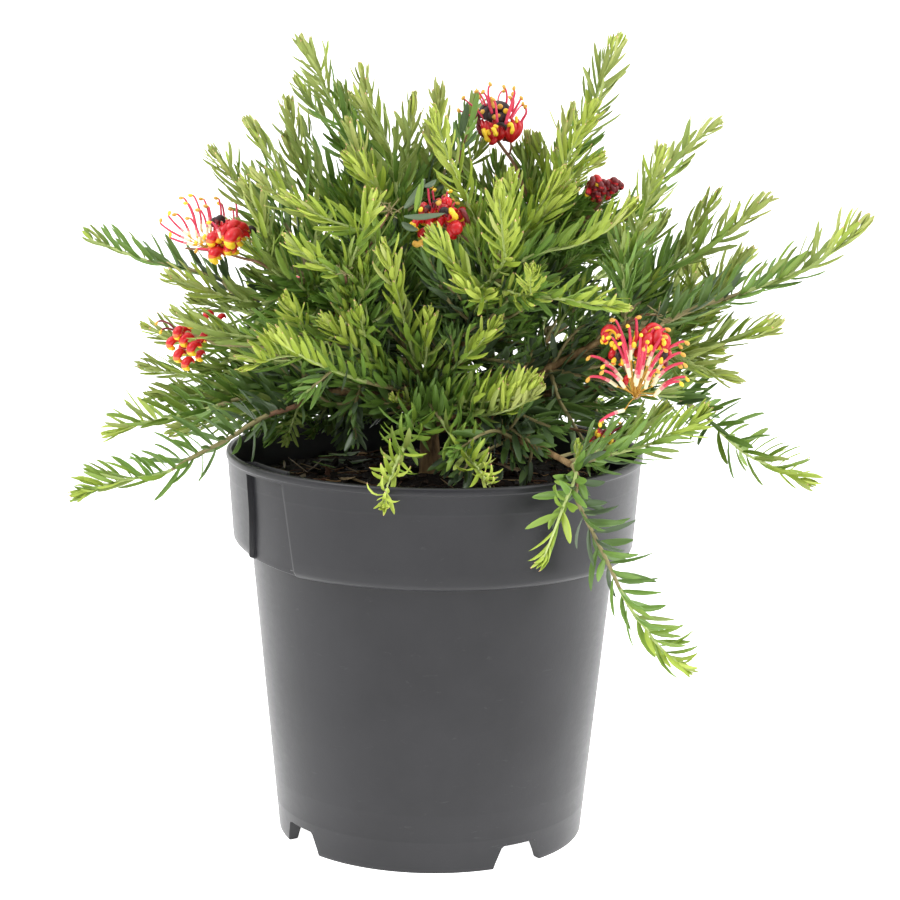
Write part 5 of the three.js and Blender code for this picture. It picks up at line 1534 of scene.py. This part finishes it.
A = np.radians(angles)
pot_verts, ring_at = [], []
count = 0
for r, z, kind in rows:
    if r == 0:
        ring_at.append((count, 1))
        pot_verts.append(np.array([[0.0, 0.0, z]]))
        count += 1
        continue
    rr = np.full(len(A), float(r))
    at = angles
    zz = np.full(len(A), float(z))
    if kind == "c":
        deep = recess(angles, z)
        rr = rr - deep
        if z < 138:
            # within a recess, and beside its deep edge, the foot of the collar is crisp
            crisp = collar_outer(136.8) - deep - {133.5: 0.55, 133.8: 0.15}.get(z, 0.0)
            blend = np.where(deep > 1, 1.0, 0.0)
            for a0 in ROUND:
                a = (angles - a0 + 60) % 360 - 60
                blend = np.where((a > -4) & (a <= 0.06), np.maximum(blend, 1 + a / 4), blend)
            blend = np.clip(blend, 0, 1)
            rr = blend * crisp + (1 - blend) * rr
            rr = np.maximum(rr, 86.8 + 0.1 * (z - 133.5))
        at = splay(angles, z)
    elif kind == "i":
        rr = np.minimum(rr, collar_outer(z) - recess(angles, z) - 2.0) if z < 174 else rr
    elif kind == "i2":
        rr = np.minimum(rr, collar_outer(136.3) - recess(angles, 136.3) - 2.4)
    # a pressed pot is never quite round
    turn = np.radians(at)
    if kind == "c" and 174.5 < z < 175.1:
        # the top edge of a recess drops a little from left to right
        for a0 in ROUND:
            drop = np.clip(((angles - a0) % 360) / WIDE, 0, 1) * 1.5 * (((angles - a0) % 360) < WIDE + 1)
            zz, rr = zz - drop, rr - 0.073 * drop
    if kind in ("b", "c") and 132.5 < z < 138:
        # the collar's foot stands a little higher beside the deep edge of a recess
        for a0 in ROUND:
            a = (angles - a0 + 60) % 360 - 60
            q = np.clip((a + 46) / 34, 0, 1)
            zz = zz + np.where(a <= 0.03, 2.8 * q * q * (3 - 2 * q), np.where(a < WIDE, 2.0 * (1 - a / WIDE), 0.0)) * (a > -59)
    oval = 1 + 0.0016 * np.cos(2 * A + 0.7) * min(1.0, z / 120) + 0.0006 * np.cos(5 * A + 1.1)
    rr = rr * oval
    low = kind in ("p", "b", "k") and r > 60
    if low and kind != "k":
        rr = rr - 0.5
    ring_at.append((count, len(A)))
    pot_verts.append(np.stack([rr * np.cos(turn) - 0.5, rr * np.sin(turn), zz], 1))
    count += len(A)
quads, tris = [], []
n = len(A)
j = np.arange(n)
k = (j + 1) % n
for (a0, na), (b0, nb) in zip(ring_at[:-1], ring_at[1:]):
    if na == 1:
        tris.append(np.stack([b0 + k, b0 + j, np.full(n, a0)], -1))
    elif nb == 1:
        tris.append(np.stack([a0 + j, a0 + k, np.full(n, b0)], -1))
    else:
        quads.append(np.stack([a0 + j, a0 + k, b0 + k, b0 + j], -1))


def pot_material():
    m, t, b = new_material("pot_plastic")
    pos = t.nodes.new("ShaderNodeTexCoord")
    broad = t.nodes.new("ShaderNodeTexNoise")
    broad.inputs["Scale"].default_value = 26
    broad.inputs["Detail"].default_value = 5
    broad.inputs["Roughness"].default_value = 0.6
    ramp = t.nodes.new("ShaderNodeValToRGB")
    e = ramp.color_ramp.elements
    e[0].position, e[0].color = 0.32, linear((25, 25, 28))
    e[1].position, e[1].color = 0.66, linear((32, 32, 35))
    # pale rubbed marks, drawn out round the pot
    mp = t.nodes.new("ShaderNodeMapping")
    mp.inputs["Scale"].default_value = (1, 1, 3.2)
    rub = t.nodes.new("ShaderNodeTexNoise")
    rub.inputs["Scale"].default_value = 95
    rub.inputs["Detail"].default_value = 9
    rub.inputs["Roughness"].default_value = 0.72
    rub.inputs["Distortion"].default_value = 0.9
    pick = t.nodes.new("ShaderNodeMapRange")
    pick.inputs["From Min"].default_value = 0.62
    pick.inputs["From Max"].default_value = 0.78
    pick.inputs["To Max"].default_value = 0.5
    mix = t.nodes.new("ShaderNodeMix")
    mix.data_type = "RGBA"
    mix.inputs["B"].default_value = linear((74, 74, 76))
    # dust in specks
    speck = t.nodes.new("ShaderNodeTexVoronoi")
    speck.inputs["Scale"].default_value = 210
    cut = t.nodes.new("ShaderNodeMapRange")
    cut.inputs["From Min"].default_value = 0.10
    cut.inputs["From Max"].default_value = 0.04
    cut.inputs["To Max"].default_value = 0.22
    mix2 = t.nodes.new("ShaderNodeMix")
    mix2.data_type = "RGBA"
    mix2.inputs["B"].default_value = linear((34, 32, 30))
    L = t.links.new
    L(pos.outputs["Object"], broad.inputs["Vector"])
    L(pos.outputs["Object"], mp.inputs["Vector"])
    L(mp.outputs["Vector"], rub.inputs["Vector"])
    L(pos.outputs["Object"], speck.inputs["Vector"])
    L(broad.outputs["Fac"], ramp.inputs["Fac"])
    L(rub.outputs["Fac"], pick.inputs["Value"])
    L(pick.outputs["Result"], mix.inputs["Factor"])
    L(ramp.outputs["Color"], mix.inputs["A"])
    L(speck.outputs["Distance"], cut.inputs["Value"])
    L(cut.outputs["Result"], mix2.inputs["Factor"])
    L(mix.outputs["Result"], mix2.inputs["A"])
    L(mix2.outputs["Result"], b.inputs["Base Color"])
    rr = t.nodes.new("ShaderNodeMapRange")
    rr.inputs["To Min"].default_value = 0.30
    rr.inputs["To Max"].default_value = 0.46
    L(rub.outputs["Fac"], rr.inputs["Value"])
    L(rr.outputs["Result"], b.inputs["Roughness"])
    grain = t.nodes.new("ShaderNodeTexNoise")
    grain.inputs["Scale"].default_value = 1500
    grain.inputs["Detail"].default_value = 2
    fine = t.nodes.new("ShaderNodeBump")
    fine.inputs["Strength"].default_value = 0.16
    fine.inputs["Distance"].default_value = 0.00012
    wide = t.nodes.new("ShaderNodeBump")
    wide.inputs["Strength"].default_value = 0.25
    wide.inputs["Distance"].default_value = 0.0009
    L(pos.outputs["Object"], grain.inputs["Vector"])
    L(grain.outputs["Fac"], fine.inputs["Height"])
    L(broad.outputs["Fac"], wide.inputs["Height"])
    L(wide.outputs["Normal"], fine.inputs["Normal"])
    L(fine.outputs["Normal"], b.inputs["Normal"])
    b.inputs["Specular IOR Level"].default_value = 0.32
    return m


POT_MAT = pot_material()
shell = Pile()
shell.add(np.concatenate(pot_verts) * 0.1, [np.concatenate(quads), np.concatenate(tris)])
# inside the rim, behind each recess, the wall that was pressed in ends in a thin upright edge
lips = Pile()
for a0 in ROUND:
    at = np.radians(np.linspace(a0 - 1.4, a0 + WIDE + 1.2, 40))
    q = np.linspace(0, 1, 40)
    inward = np.clip(np.minimum(q, 1 - q) / 0.07, 0, 1) ** 0.7
    mid = 92.7 - 3.4 * inward
    ring = [(-0.45, 172.0), (0.45, 172.0), (0.45, 179.6), (0.25, 179.95), (-0.25, 179.95), (-0.45, 179.6)]
    v = [[(mid[i] + d) * math.cos(at[i]) - 0.5, (mid[i] + d) * math.sin(at[i]), z] for i in range(40) for d, z in ring]
    f = [(6 * i + j, 6 * i + (j + 1) % 6, 6 * i + 6 + (j + 1) % 6, 6 * i + 6 + j) for i in range(39) for j in range(6)]
    ends = [(0, 5, 4), (0, 4, 3), (0, 3, 2), (0, 2, 1)]
    f2 = ends + [tuple(234 + k for k in reversed(e)) for e in ends]
    lips.add(np.array(v) * 0.1, [np.array(f), np.array(f2)])
pot = shell.build("nursery_pot", [POT_MAT])
cutter = Pile()
for az in NOTCHES:
    a = math.radians(az)
    out, side = np.array([math.cos(a), math.sin(a), 0]), np.array([-math.sin(a), math.cos(a), 0])
    prof = [(-1.3, -0.6), (1.3, -0.6), (1.3, 0.0), (1.22, 0.3), (0.96, 0.98), (0.84, 1.07), (-0.84, 1.07), (-0.96, 0.98), (-1.22, 0.3), (-1.3, 0.0)]
    v = [out * d + side * x + np.array([0, 0, z]) for d in (5.9, 8.2) for x, z in prof]
    m = len(prof)
    q = [(i, (i + 1) % m, m + (i + 1) % m, m + i) for i in range(m)]
    cutter.add(v, [np.array(q)[:, ::-1]], 0)
    cap = np.array([(0, i, i + 1) for i in range(1, m - 1)])
    cutter.faces += [cap + cutter.count - 2 * m, cap[:, ::-1] + cutter.count - m]
    cutter.slots += [np.zeros(len(cap), np.int32)] * 2
tool = cutter.build("notch_tool", [POT_MAT], False)
for ob in (tool, pot):
    bm = bmesh.new()
    bm.from_mesh(ob.data)
    bmesh.ops.remove_doubles(bm, verts=bm.verts, dist=1e-7)
    bmesh.ops.recalc_face_normals(bm, faces=bm.faces)
    print(ob.name, "open edges", sum(not e.is_manifold for e in bm.edges), "volume", bm.calc_volume(signed=True))
    bm.to_mesh(ob.data)
    bm.free()
mod = pot.modifiers.new("notches", "BOOLEAN")
mod.operation, mod.solver, mod.object = "DIFFERENCE", "EXACT", tool
deps = bpy.context.evaluated_depsgraph_get()
cut_mesh = bpy.data.meshes.new_from_object(pot.evaluated_get(deps))
pot.modifiers.clear()
pot.data = cut_mesh
bpy.data.objects.remove(tool)
lip_piece = lips.build("rim_panels", [POT_MAT])
lip_piece.data.set_sharp_from_angle(angle=math.radians(32))
pot.data.set_sharp_from_angle(angle=math.radians(32))


# ------------------------------------------------------------------ potting mix
def fbm(x, y, s, seed, octaves=4):
    out, amp, tot = 0.0, 1.0, 0.0
    for o in range(octaves):
        out = out + amp * noise.noise(Vector((x * s + seed, y * s - seed, seed * 1.7 + o)))
        tot += amp
        amp *= 0.55
        s *= 2.1
    return out / tot


def soil_top(x, y):
    r = math.hypot(x, y)
    z = 16.34 + 0.26 * (1 - (r / 9.1) ** 2) - 0.22 * max(0, r / 9.1 - 0.75) * 4
    z += 0.30 * fbm(x, y, 0.55, 3.3) + 0.12 * fbm(x, y, 1.9, 7.1)
    z += 0.22 * math.exp(-((x + 0.2) ** 2 + (y - 0.1) ** 2) / 1.6)
    return z


soil = Pile()
SN, SM = 144, 46
sa = np.linspace(0, 2 * np.pi, SN, endpoint=False)
edge = inner_wall(np.degrees(sa), np.full(SN, 163.0)) * 0.1 - 0.05
grid = [[0.0, 0.0, soil_top(0, 0)]]
for i in range(1, SM + 1):
    f = (i / SM) ** 0.8
    for a, e in zip(sa, edge):
        x, y = f * e * math.cos(a), f * e * math.sin(a)
        grid.append([x, y, soil_top(x, y)])
low = [(15.2, 0.99), (13.75, 0.975)]
for z, f in low:
    for a, e in zip(sa, edge):
        grid.append([f * e * math.cos(a), f * e * math.sin(a), z])
for z in (13.3, 11.2):
    r = body_r(z * 10) * 0.1 - 0.26
    for a in sa:
        grid.append([r * math.cos(a), r * math.sin(a), z])
for z in (8.0, 4.0, 1.15):
    r = body_r(z * 10) * 0.1 - 0.26
    for a in sa:
        grid.append([r * math.cos(a), r * math.sin(a), z])
grid.append([0.0, 0.0, 1.15])
j = np.arange(SN)
k = (j + 1) % SN
rings = (len(grid) - 2) // SN
tri_top = np.stack([1 + j, 1 + k, np.zeros(SN, int)], -1)
q = np.concatenate([np.stack([1 + i * SN + j, 1 + (i + 1) * SN + j, 1 + (i + 1) * SN + k, 1 + i * SN + k], -1) for i in range(rings - 1)])
last = 1 + (rings - 1) * SN
tri_low = np.stack([last + k, last + j, np.full(SN, len(grid) - 1)], -1)
soil.add(grid, [q, np.concatenate([tri_top, tri_low])])

SOIL_MAT = mottled("potting_mix", [(0.3, (12, 10, 8)), (0.52, (24, 18, 14)), (0.68, (40, 30, 22)), (0.86, (70, 54, 38))], 260, 0.92, (1, 1, 1), 9, (1.0, 0.0022), 0.2, 0.82)
CHIP_MATS = [
    plain("chip_black", (24, 19, 16), 0.9, 0.2, (700.0, 0.7, 0.0006)),
    plain("chip_brown", (48, 36, 27), 0.88, 0.2, (700.0, 0.7, 0.0006)),
    plain("chip_red", (72, 47, 32), 0.85, 0.25, (700.0, 0.6, 0.0006)),
    plain("chip_tan", (128, 102, 70), 0.8, 0.25, (700.0, 0.5, 0.0005)),
]
chips = Pile()
g = np.random.default_rng(900)
for i in range(760):
    a, r = g.uniform(0, 2 * math.pi), 8.6 * math.sqrt(g.uniform(0, 1))
    lim = float(inner_wall(np.array([math.degrees(a)]), np.array([163.0]))[0]) * 0.1 - 0.35
    r = min(r, lim)
    x, y = r * math.cos(a), r * math.sin(a)
    if math.hypot(x + 0.2, y - 0.1) < 0.75:
        continue
    size = 0.09 + 0.42 * g.random() ** 2.4
    dim = np.array([size, size * g.uniform(0.35, 0.7), size * g.uniform(0.18, 0.4)])
    v, f = ball((0, 0, 0), 1.0, (1, 1, 1), None, 6, 4)
    v = v * (1 + g.uniform(-0.28, 0.28, (len(v), 1))) * dim
    turn = np.array(Matrix.Rotation(g.uniform(0, 6.28), 3, "Z") @ Matrix.Rotation(g.normal(0, 0.45), 3, "X") @ Matrix.Rotation(g.normal(0, 0.45), 3, "Y"))
    chips.add(v @ turn.T + [x, y, soil_top(x, y) + dim[2] * 0.25], f, int(g.choice(4, p=[0.6, 0.28, 0.09, 0.03])))
for i in range(150):
    a, r = g.uniform(0, 2 * math.pi), 8.3 * math.sqrt(g.uniform(0, 1))
    x, y = r * math.cos(a), r * math.sin(a)
    way = g.uniform(0, 6.28)
    L = g.uniform(0.5, 1.9)
    pts = []
    for s in np.linspace(-0.5, 0.5, 5):
        px, py = x + L * s * math.cos(way) + g.normal(0, 0.05), y + L * s * math.sin(way) + g.normal(0, 0.05)
        if math.hypot(px, py) > 8.55:
            px, py = px * 8.5 / math.hypot(px, py), py * 8.5 / math.hypot(px, py)
        pts.append([px, py, soil_top(px, py) + 0.06 + g.uniform(0, 0.09)])
    p = spline(pts, 0.12)
    v, f = tube(p, g.uniform(0.018, 0.04), 5, True)
    c = int(g.choice([1, 2, 3], p=[0.5, 0.3, 0.2]))
    chips.add(v, f, [c, c])
# leaves that have dropped
for i in range(26):
    a, r = g.uniform(0, 2 * math.pi), 8.0 * math.sqrt(g.uniform(0.05, 1))
    x, y = r * math.cos(a), r * math.sin(a)
    way = g.uniform(0, 6.28)
    T = unit([math.cos(way), math.sin(way), g.normal(0, 0.12)])
    L = g.uniform(1.2, 2.0)
    z = max(soil_top(x, y), soil_top(x + T[0] * L / 2, y + T[1] * L / 2)) + 0.10
    for key, val in dict(P=[x, y, z], T=T, N=across(T, (g.normal(0, 0.2), g.normal(0, 0.2), 1.0)), L=L, W=g.uniform(0.24, 0.42), K=g.normal(0.1, 0.25),
                         side=g.normal(0, 0.05), twist=g.normal(0, 0.5), cls=int(g.choice([3, 4, 6, 7], p=[0.1, 0.3, 0.2, 0.4])), pink=False, form=1, depth=1.0).items():
        FIELDS[key].append(np.array([val]))


# ------------------------------------------------------------------ the leaf meshes, one piece for each colour
F = {key: np.concatenate(val) for key, val in FIELDS.items()}
verts = np.zeros((len(F["L"]), LEAF_VERTS, 3))
for i, form in enumerate(("narrow", "broad")):
    pick = F["form"] == i
    if pick.any():
        a = [F[key][pick] for key in ("P", "T", "N", "L", "W", "K", "side", "twist")]
        verts[pick] = leaf_block(*a, form, F["depth"][pick])
# none through the pot's wall, into the mix, or below the bough that hides them
rr = np.hypot(verts[..., 0], verts[..., 1])
az = np.degrees(np.arctan2(verts[..., 1], verts[..., 0]))
z = verts[..., 2]
wall = (z < 18.02) & (z > 13.2) & (rr > inner_wall(az, np.clip(z * 10, 137, 179)) * 0.1 - 0.02) & (rr < 9.62)
wall |= (z <= 13.3) & (rr < body_r(np.clip(z, 0, 13.3) * 10) * 0.1 + 0.1)
under = (z < 16.2) & (rr < 9.0)
keep = ~(wall | under).any(1)
keep &= (verts[..., 2].max(1) < 36.9) & (np.abs(verts[..., 0] - 1.46).max(1) < 17.9)
keep &= (verts[..., 1].min(1) > -11.3) & (verts[..., 1].max(1) < 13.9)
print("leaves", len(keep), "dropped", int((~keep).sum()))
leaf_pieces = []
NAMES = [n for n, _, _ in LEAF_CLASSES]
for c, name in enumerate(NAMES):
    idx = np.where(keep & (F["cls"] == c))[0]
    if not len(idx):
        continue
    parts = int(math.ceil(len(idx) * 44 / 185000))
    for part in range(parts):
        sub = idx[part::parts]
        v = verts[sub].reshape(-1, 3)
        base = (np.arange(len(sub)) * LEAF_VERTS)[:, None, None]
        q = (QUADS[None] + base).reshape(-1, 4)
        t = (TRIS[None] + base).reshape(-1, 3)
        tip = np.repeat(F["pink"][sub].astype(np.int32), len(TRIS))
        pile = Pile()
        pile.add(v, [q, t], [0, tip])
        obj = pile.build(f"leaves_{name}" + (f"_{part + 1}" if parts > 1 else ""), [LEAF_MATS[c], PINK])
        leaf_pieces.append((obj, c))
print("leaf triangles", sum(len(o.data.loops) - 2 * len(o.data.polygons) for o, _ in leaf_pieces))

twig_piece = twigs.build("twigs", STEM_MATS)
bloom_piece = bloom.build("blossom", BLOOM_MATS)
wood_piece = wood.build("trunk_and_boughs", [BARK])
soil_piece = soil.build("potting_mix_top", [SOIL_MAT])
chip_piece = chips.build("bark_chips", CHIP_MATS, False)
print("twigs", twigs.triangles(), "bloom", bloom.triangles(), "wood", wood.triangles(), "chips", chips.triangles(), "soil", soil.triangles(), "pot", len(pot.data.loops) - 2 * len(pot.data.polygons))


# ------------------------------------------------------------------ what each piece rides on and stands for
NODES = [n if isinstance(n, str) else n["name"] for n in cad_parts]
MASSES = [n for n in NODES if n.startswith(("leaves_", "clump_"))]
LIMB_NODES = ["trunk"] + [n for n in NODES if n.startswith("bough_")]
for obj, c in leaf_pieces:
    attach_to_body(obj, "root")
    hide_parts(*MASSES)
for obj, slot, nodes in (
    (twig_piece, "bark", ()),
    (bloom_piece, "leaf", ()),
    (wood_piece, "bark", LIMB_NODES),
    (soil_piece, "potting_mix", ("soil",)),
    (chip_piece, "potting_mix", ()),
    (pot, "pot_plastic", ("pot",)),
    (lip_piece, "pot_plastic", ()),
):
    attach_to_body(obj, "root")
    if nodes:
        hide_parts(*nodes)


# ------------------------------------------------------------------ studio
def look(obj, at):
    obj.rotation_euler = (Vector(at) - obj.location).to_track_quat("-Z", "Y").to_euler()


scene = bpy.context.scene
scene.view_settings.view_transform = "Standard"
scene.view_settings.look = "None"
scene.view_settings.exposure = 0.0
scene.view_settings.gamma = 1.0

world = bpy.data.worlds.new("studio")
scene.world = world
world.use_nodes = True
t = world.node_tree
t.nodes.clear()
out = t.nodes.new("ShaderNodeOutputWorld")
bg = t.nodes.new("ShaderNodeBackground")
pos = t.nodes.new("ShaderNodeTexCoord")
sep = t.nodes.new("ShaderNodeSeparateXYZ")
front = t.nodes.new("ShaderNodeMapRange")
front.interpolation_type = "SMOOTHSTEP"
front.inputs["From Min"].default_value = -0.95
front.inputs["From Max"].default_value = -0.02
front.inputs["To Min"].default_value = 0.15
front.inputs["To Max"].default_value = 1.4
top = t.nodes.new("ShaderNodeMapRange")
top.inputs["From Min"].default_value = 0.1
top.inputs["From Max"].default_value = 0.9
top.inputs["To Min"].default_value = 0.0
top.inputs["To Max"].default_value = 0.9
add = t.nodes.new("ShaderNodeMath")
add.operation = "ADD"
side = t.nodes.new("ShaderNodeMapRange")
side.interpolation_type = "SMOOTHSTEP"
side.inputs["From Min"].default_value = 0.15
side.inputs["From Max"].default_value = 0.9
side.inputs["To Min"].default_value = 0.0
side.inputs["To Max"].default_value = 0.9
add2 = t.nodes.new("ShaderNodeMath")
add2.operation = "ADD"
t.links.new(pos.outputs["Generated"], sep.inputs["Vector"])
t.links.new(sep.outputs["Y"], front.inputs["Value"])
t.links.new(sep.outputs["Z"], top.inputs["Value"])
t.links.new(front.outputs["Result"], add.inputs[0])
t.links.new(top.outputs["Result"], add.inputs[1])
t.links.new(sep.outputs["X"], side.inputs["Value"])
t.links.new(add.outputs["Value"], add2.inputs[0])
t.links.new(side.outputs["Result"], add2.inputs[1])
t.links.new(add2.outputs["Value"], bg.inputs["Strength"])
bg.inputs["Color"].default_value = (1.0, 1.0, 1.0, 1.0)
t.links.new(bg.outputs["Background"], out.inputs["Surface"])


def area(name, loc, at, size, power, colour=(1, 1, 1)):
    data = bpy.data.lights.new(name, "AREA")
    data.shape = "DISK"
    data.size = size
    data.energy = power
    data.color = colour
    obj = bpy.data.objects.new(name, data)
    obj.location = loc
    scene.collection.objects.link(obj)
    look(obj, at)
    return obj


area("key", (-1.5, -0.9, 1.7), (0, 0, 0.22), 0.9, 26)
area("fill", (1.7, -0.6, 1.3), (0, 0, 0.2), 1.0, 14)

# a pale sweep: floor that curves up into the backdrop, with a painted glow that is strongest round the pot's foot
m, t, b = new_material("pale_sweep")
b.inputs["Base Color"].default_value = (0.9, 0.9, 0.9, 1)
b.inputs["Roughness"].default_value = 0.9
b.inputs["Emission Color"].default_value = (1, 1, 1, 1)
# painted glow: the sweep's emission is 1.25 within 8 cm of the pot's middle and fades to 0.38 by 27 cm, washing out
# the pot's shadow on the floor and lighting the pot from below
where = t.nodes.new("ShaderNodeTexCoord")
far = t.nodes.new("ShaderNodeVectorMath")
far.operation = "LENGTH"
near = t.nodes.new("ShaderNodeMapRange")
near.interpolation_type = "SMOOTHSTEP"
near.inputs["From Min"].default_value = 0.08
near.inputs["From Max"].default_value = 0.27
near.inputs["To Min"].default_value = 1.25
near.inputs["To Max"].default_value = 0.38
t.links.new(where.outputs["Object"], far.inputs[0])
t.links.new(far.outputs["Value"], near.inputs["Value"])
t.links.new(near.outputs["Result"], b.inputs["Emission Strength"])
sweep = Pile()
prof = [(-3.2, 0.0), (1.3, 0.0)] + [(1.3 + 0.9 * math.sin(x), 0.9 - 0.9 * math.cos(x)) for x in np.linspace(0.1, math.pi / 2, 14)] + [(2.2, 3.2)]
gv = [(x * 100, y * 100, z * 100) for y, z in prof for x in (-3.5, 3.5)]
gq = [(2 * i, 2 * i + 1, 2 * i + 3, 2 * i + 2) for i in range(len(prof) - 1)]
sweep.add(gv, [np.array(gq)])
floor = sweep.build("studio_sweep", [m])
floor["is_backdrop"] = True

cam_data = bpy.data.cameras.new("camera")
cam_data.sensor_fit = "HORIZONTAL"
cam_data.sensor_width = 36.0
cam_data.lens = 99.04
cam_data.clip_start = 0.05
cam_data.clip_end = 20
cam = bpy.data.objects.new("camera", cam_data)
scene.collection.objects.link(cam)
cam.matrix_world = (
    Matrix.Translation((0.00658, -1.117, 0.3887))
    @ Matrix.Rotation(math.pi / 2 - 0.186, 4, "X")
    @ Matrix.Rotation(0.014, 4, "Z")
)
scene.camera = cam

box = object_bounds()
as_lists = lambda b: [[float(x) for x in corner] for corner in b]
{"cad": as_lists(CAD_BOX), "visual": as_lists(box)}
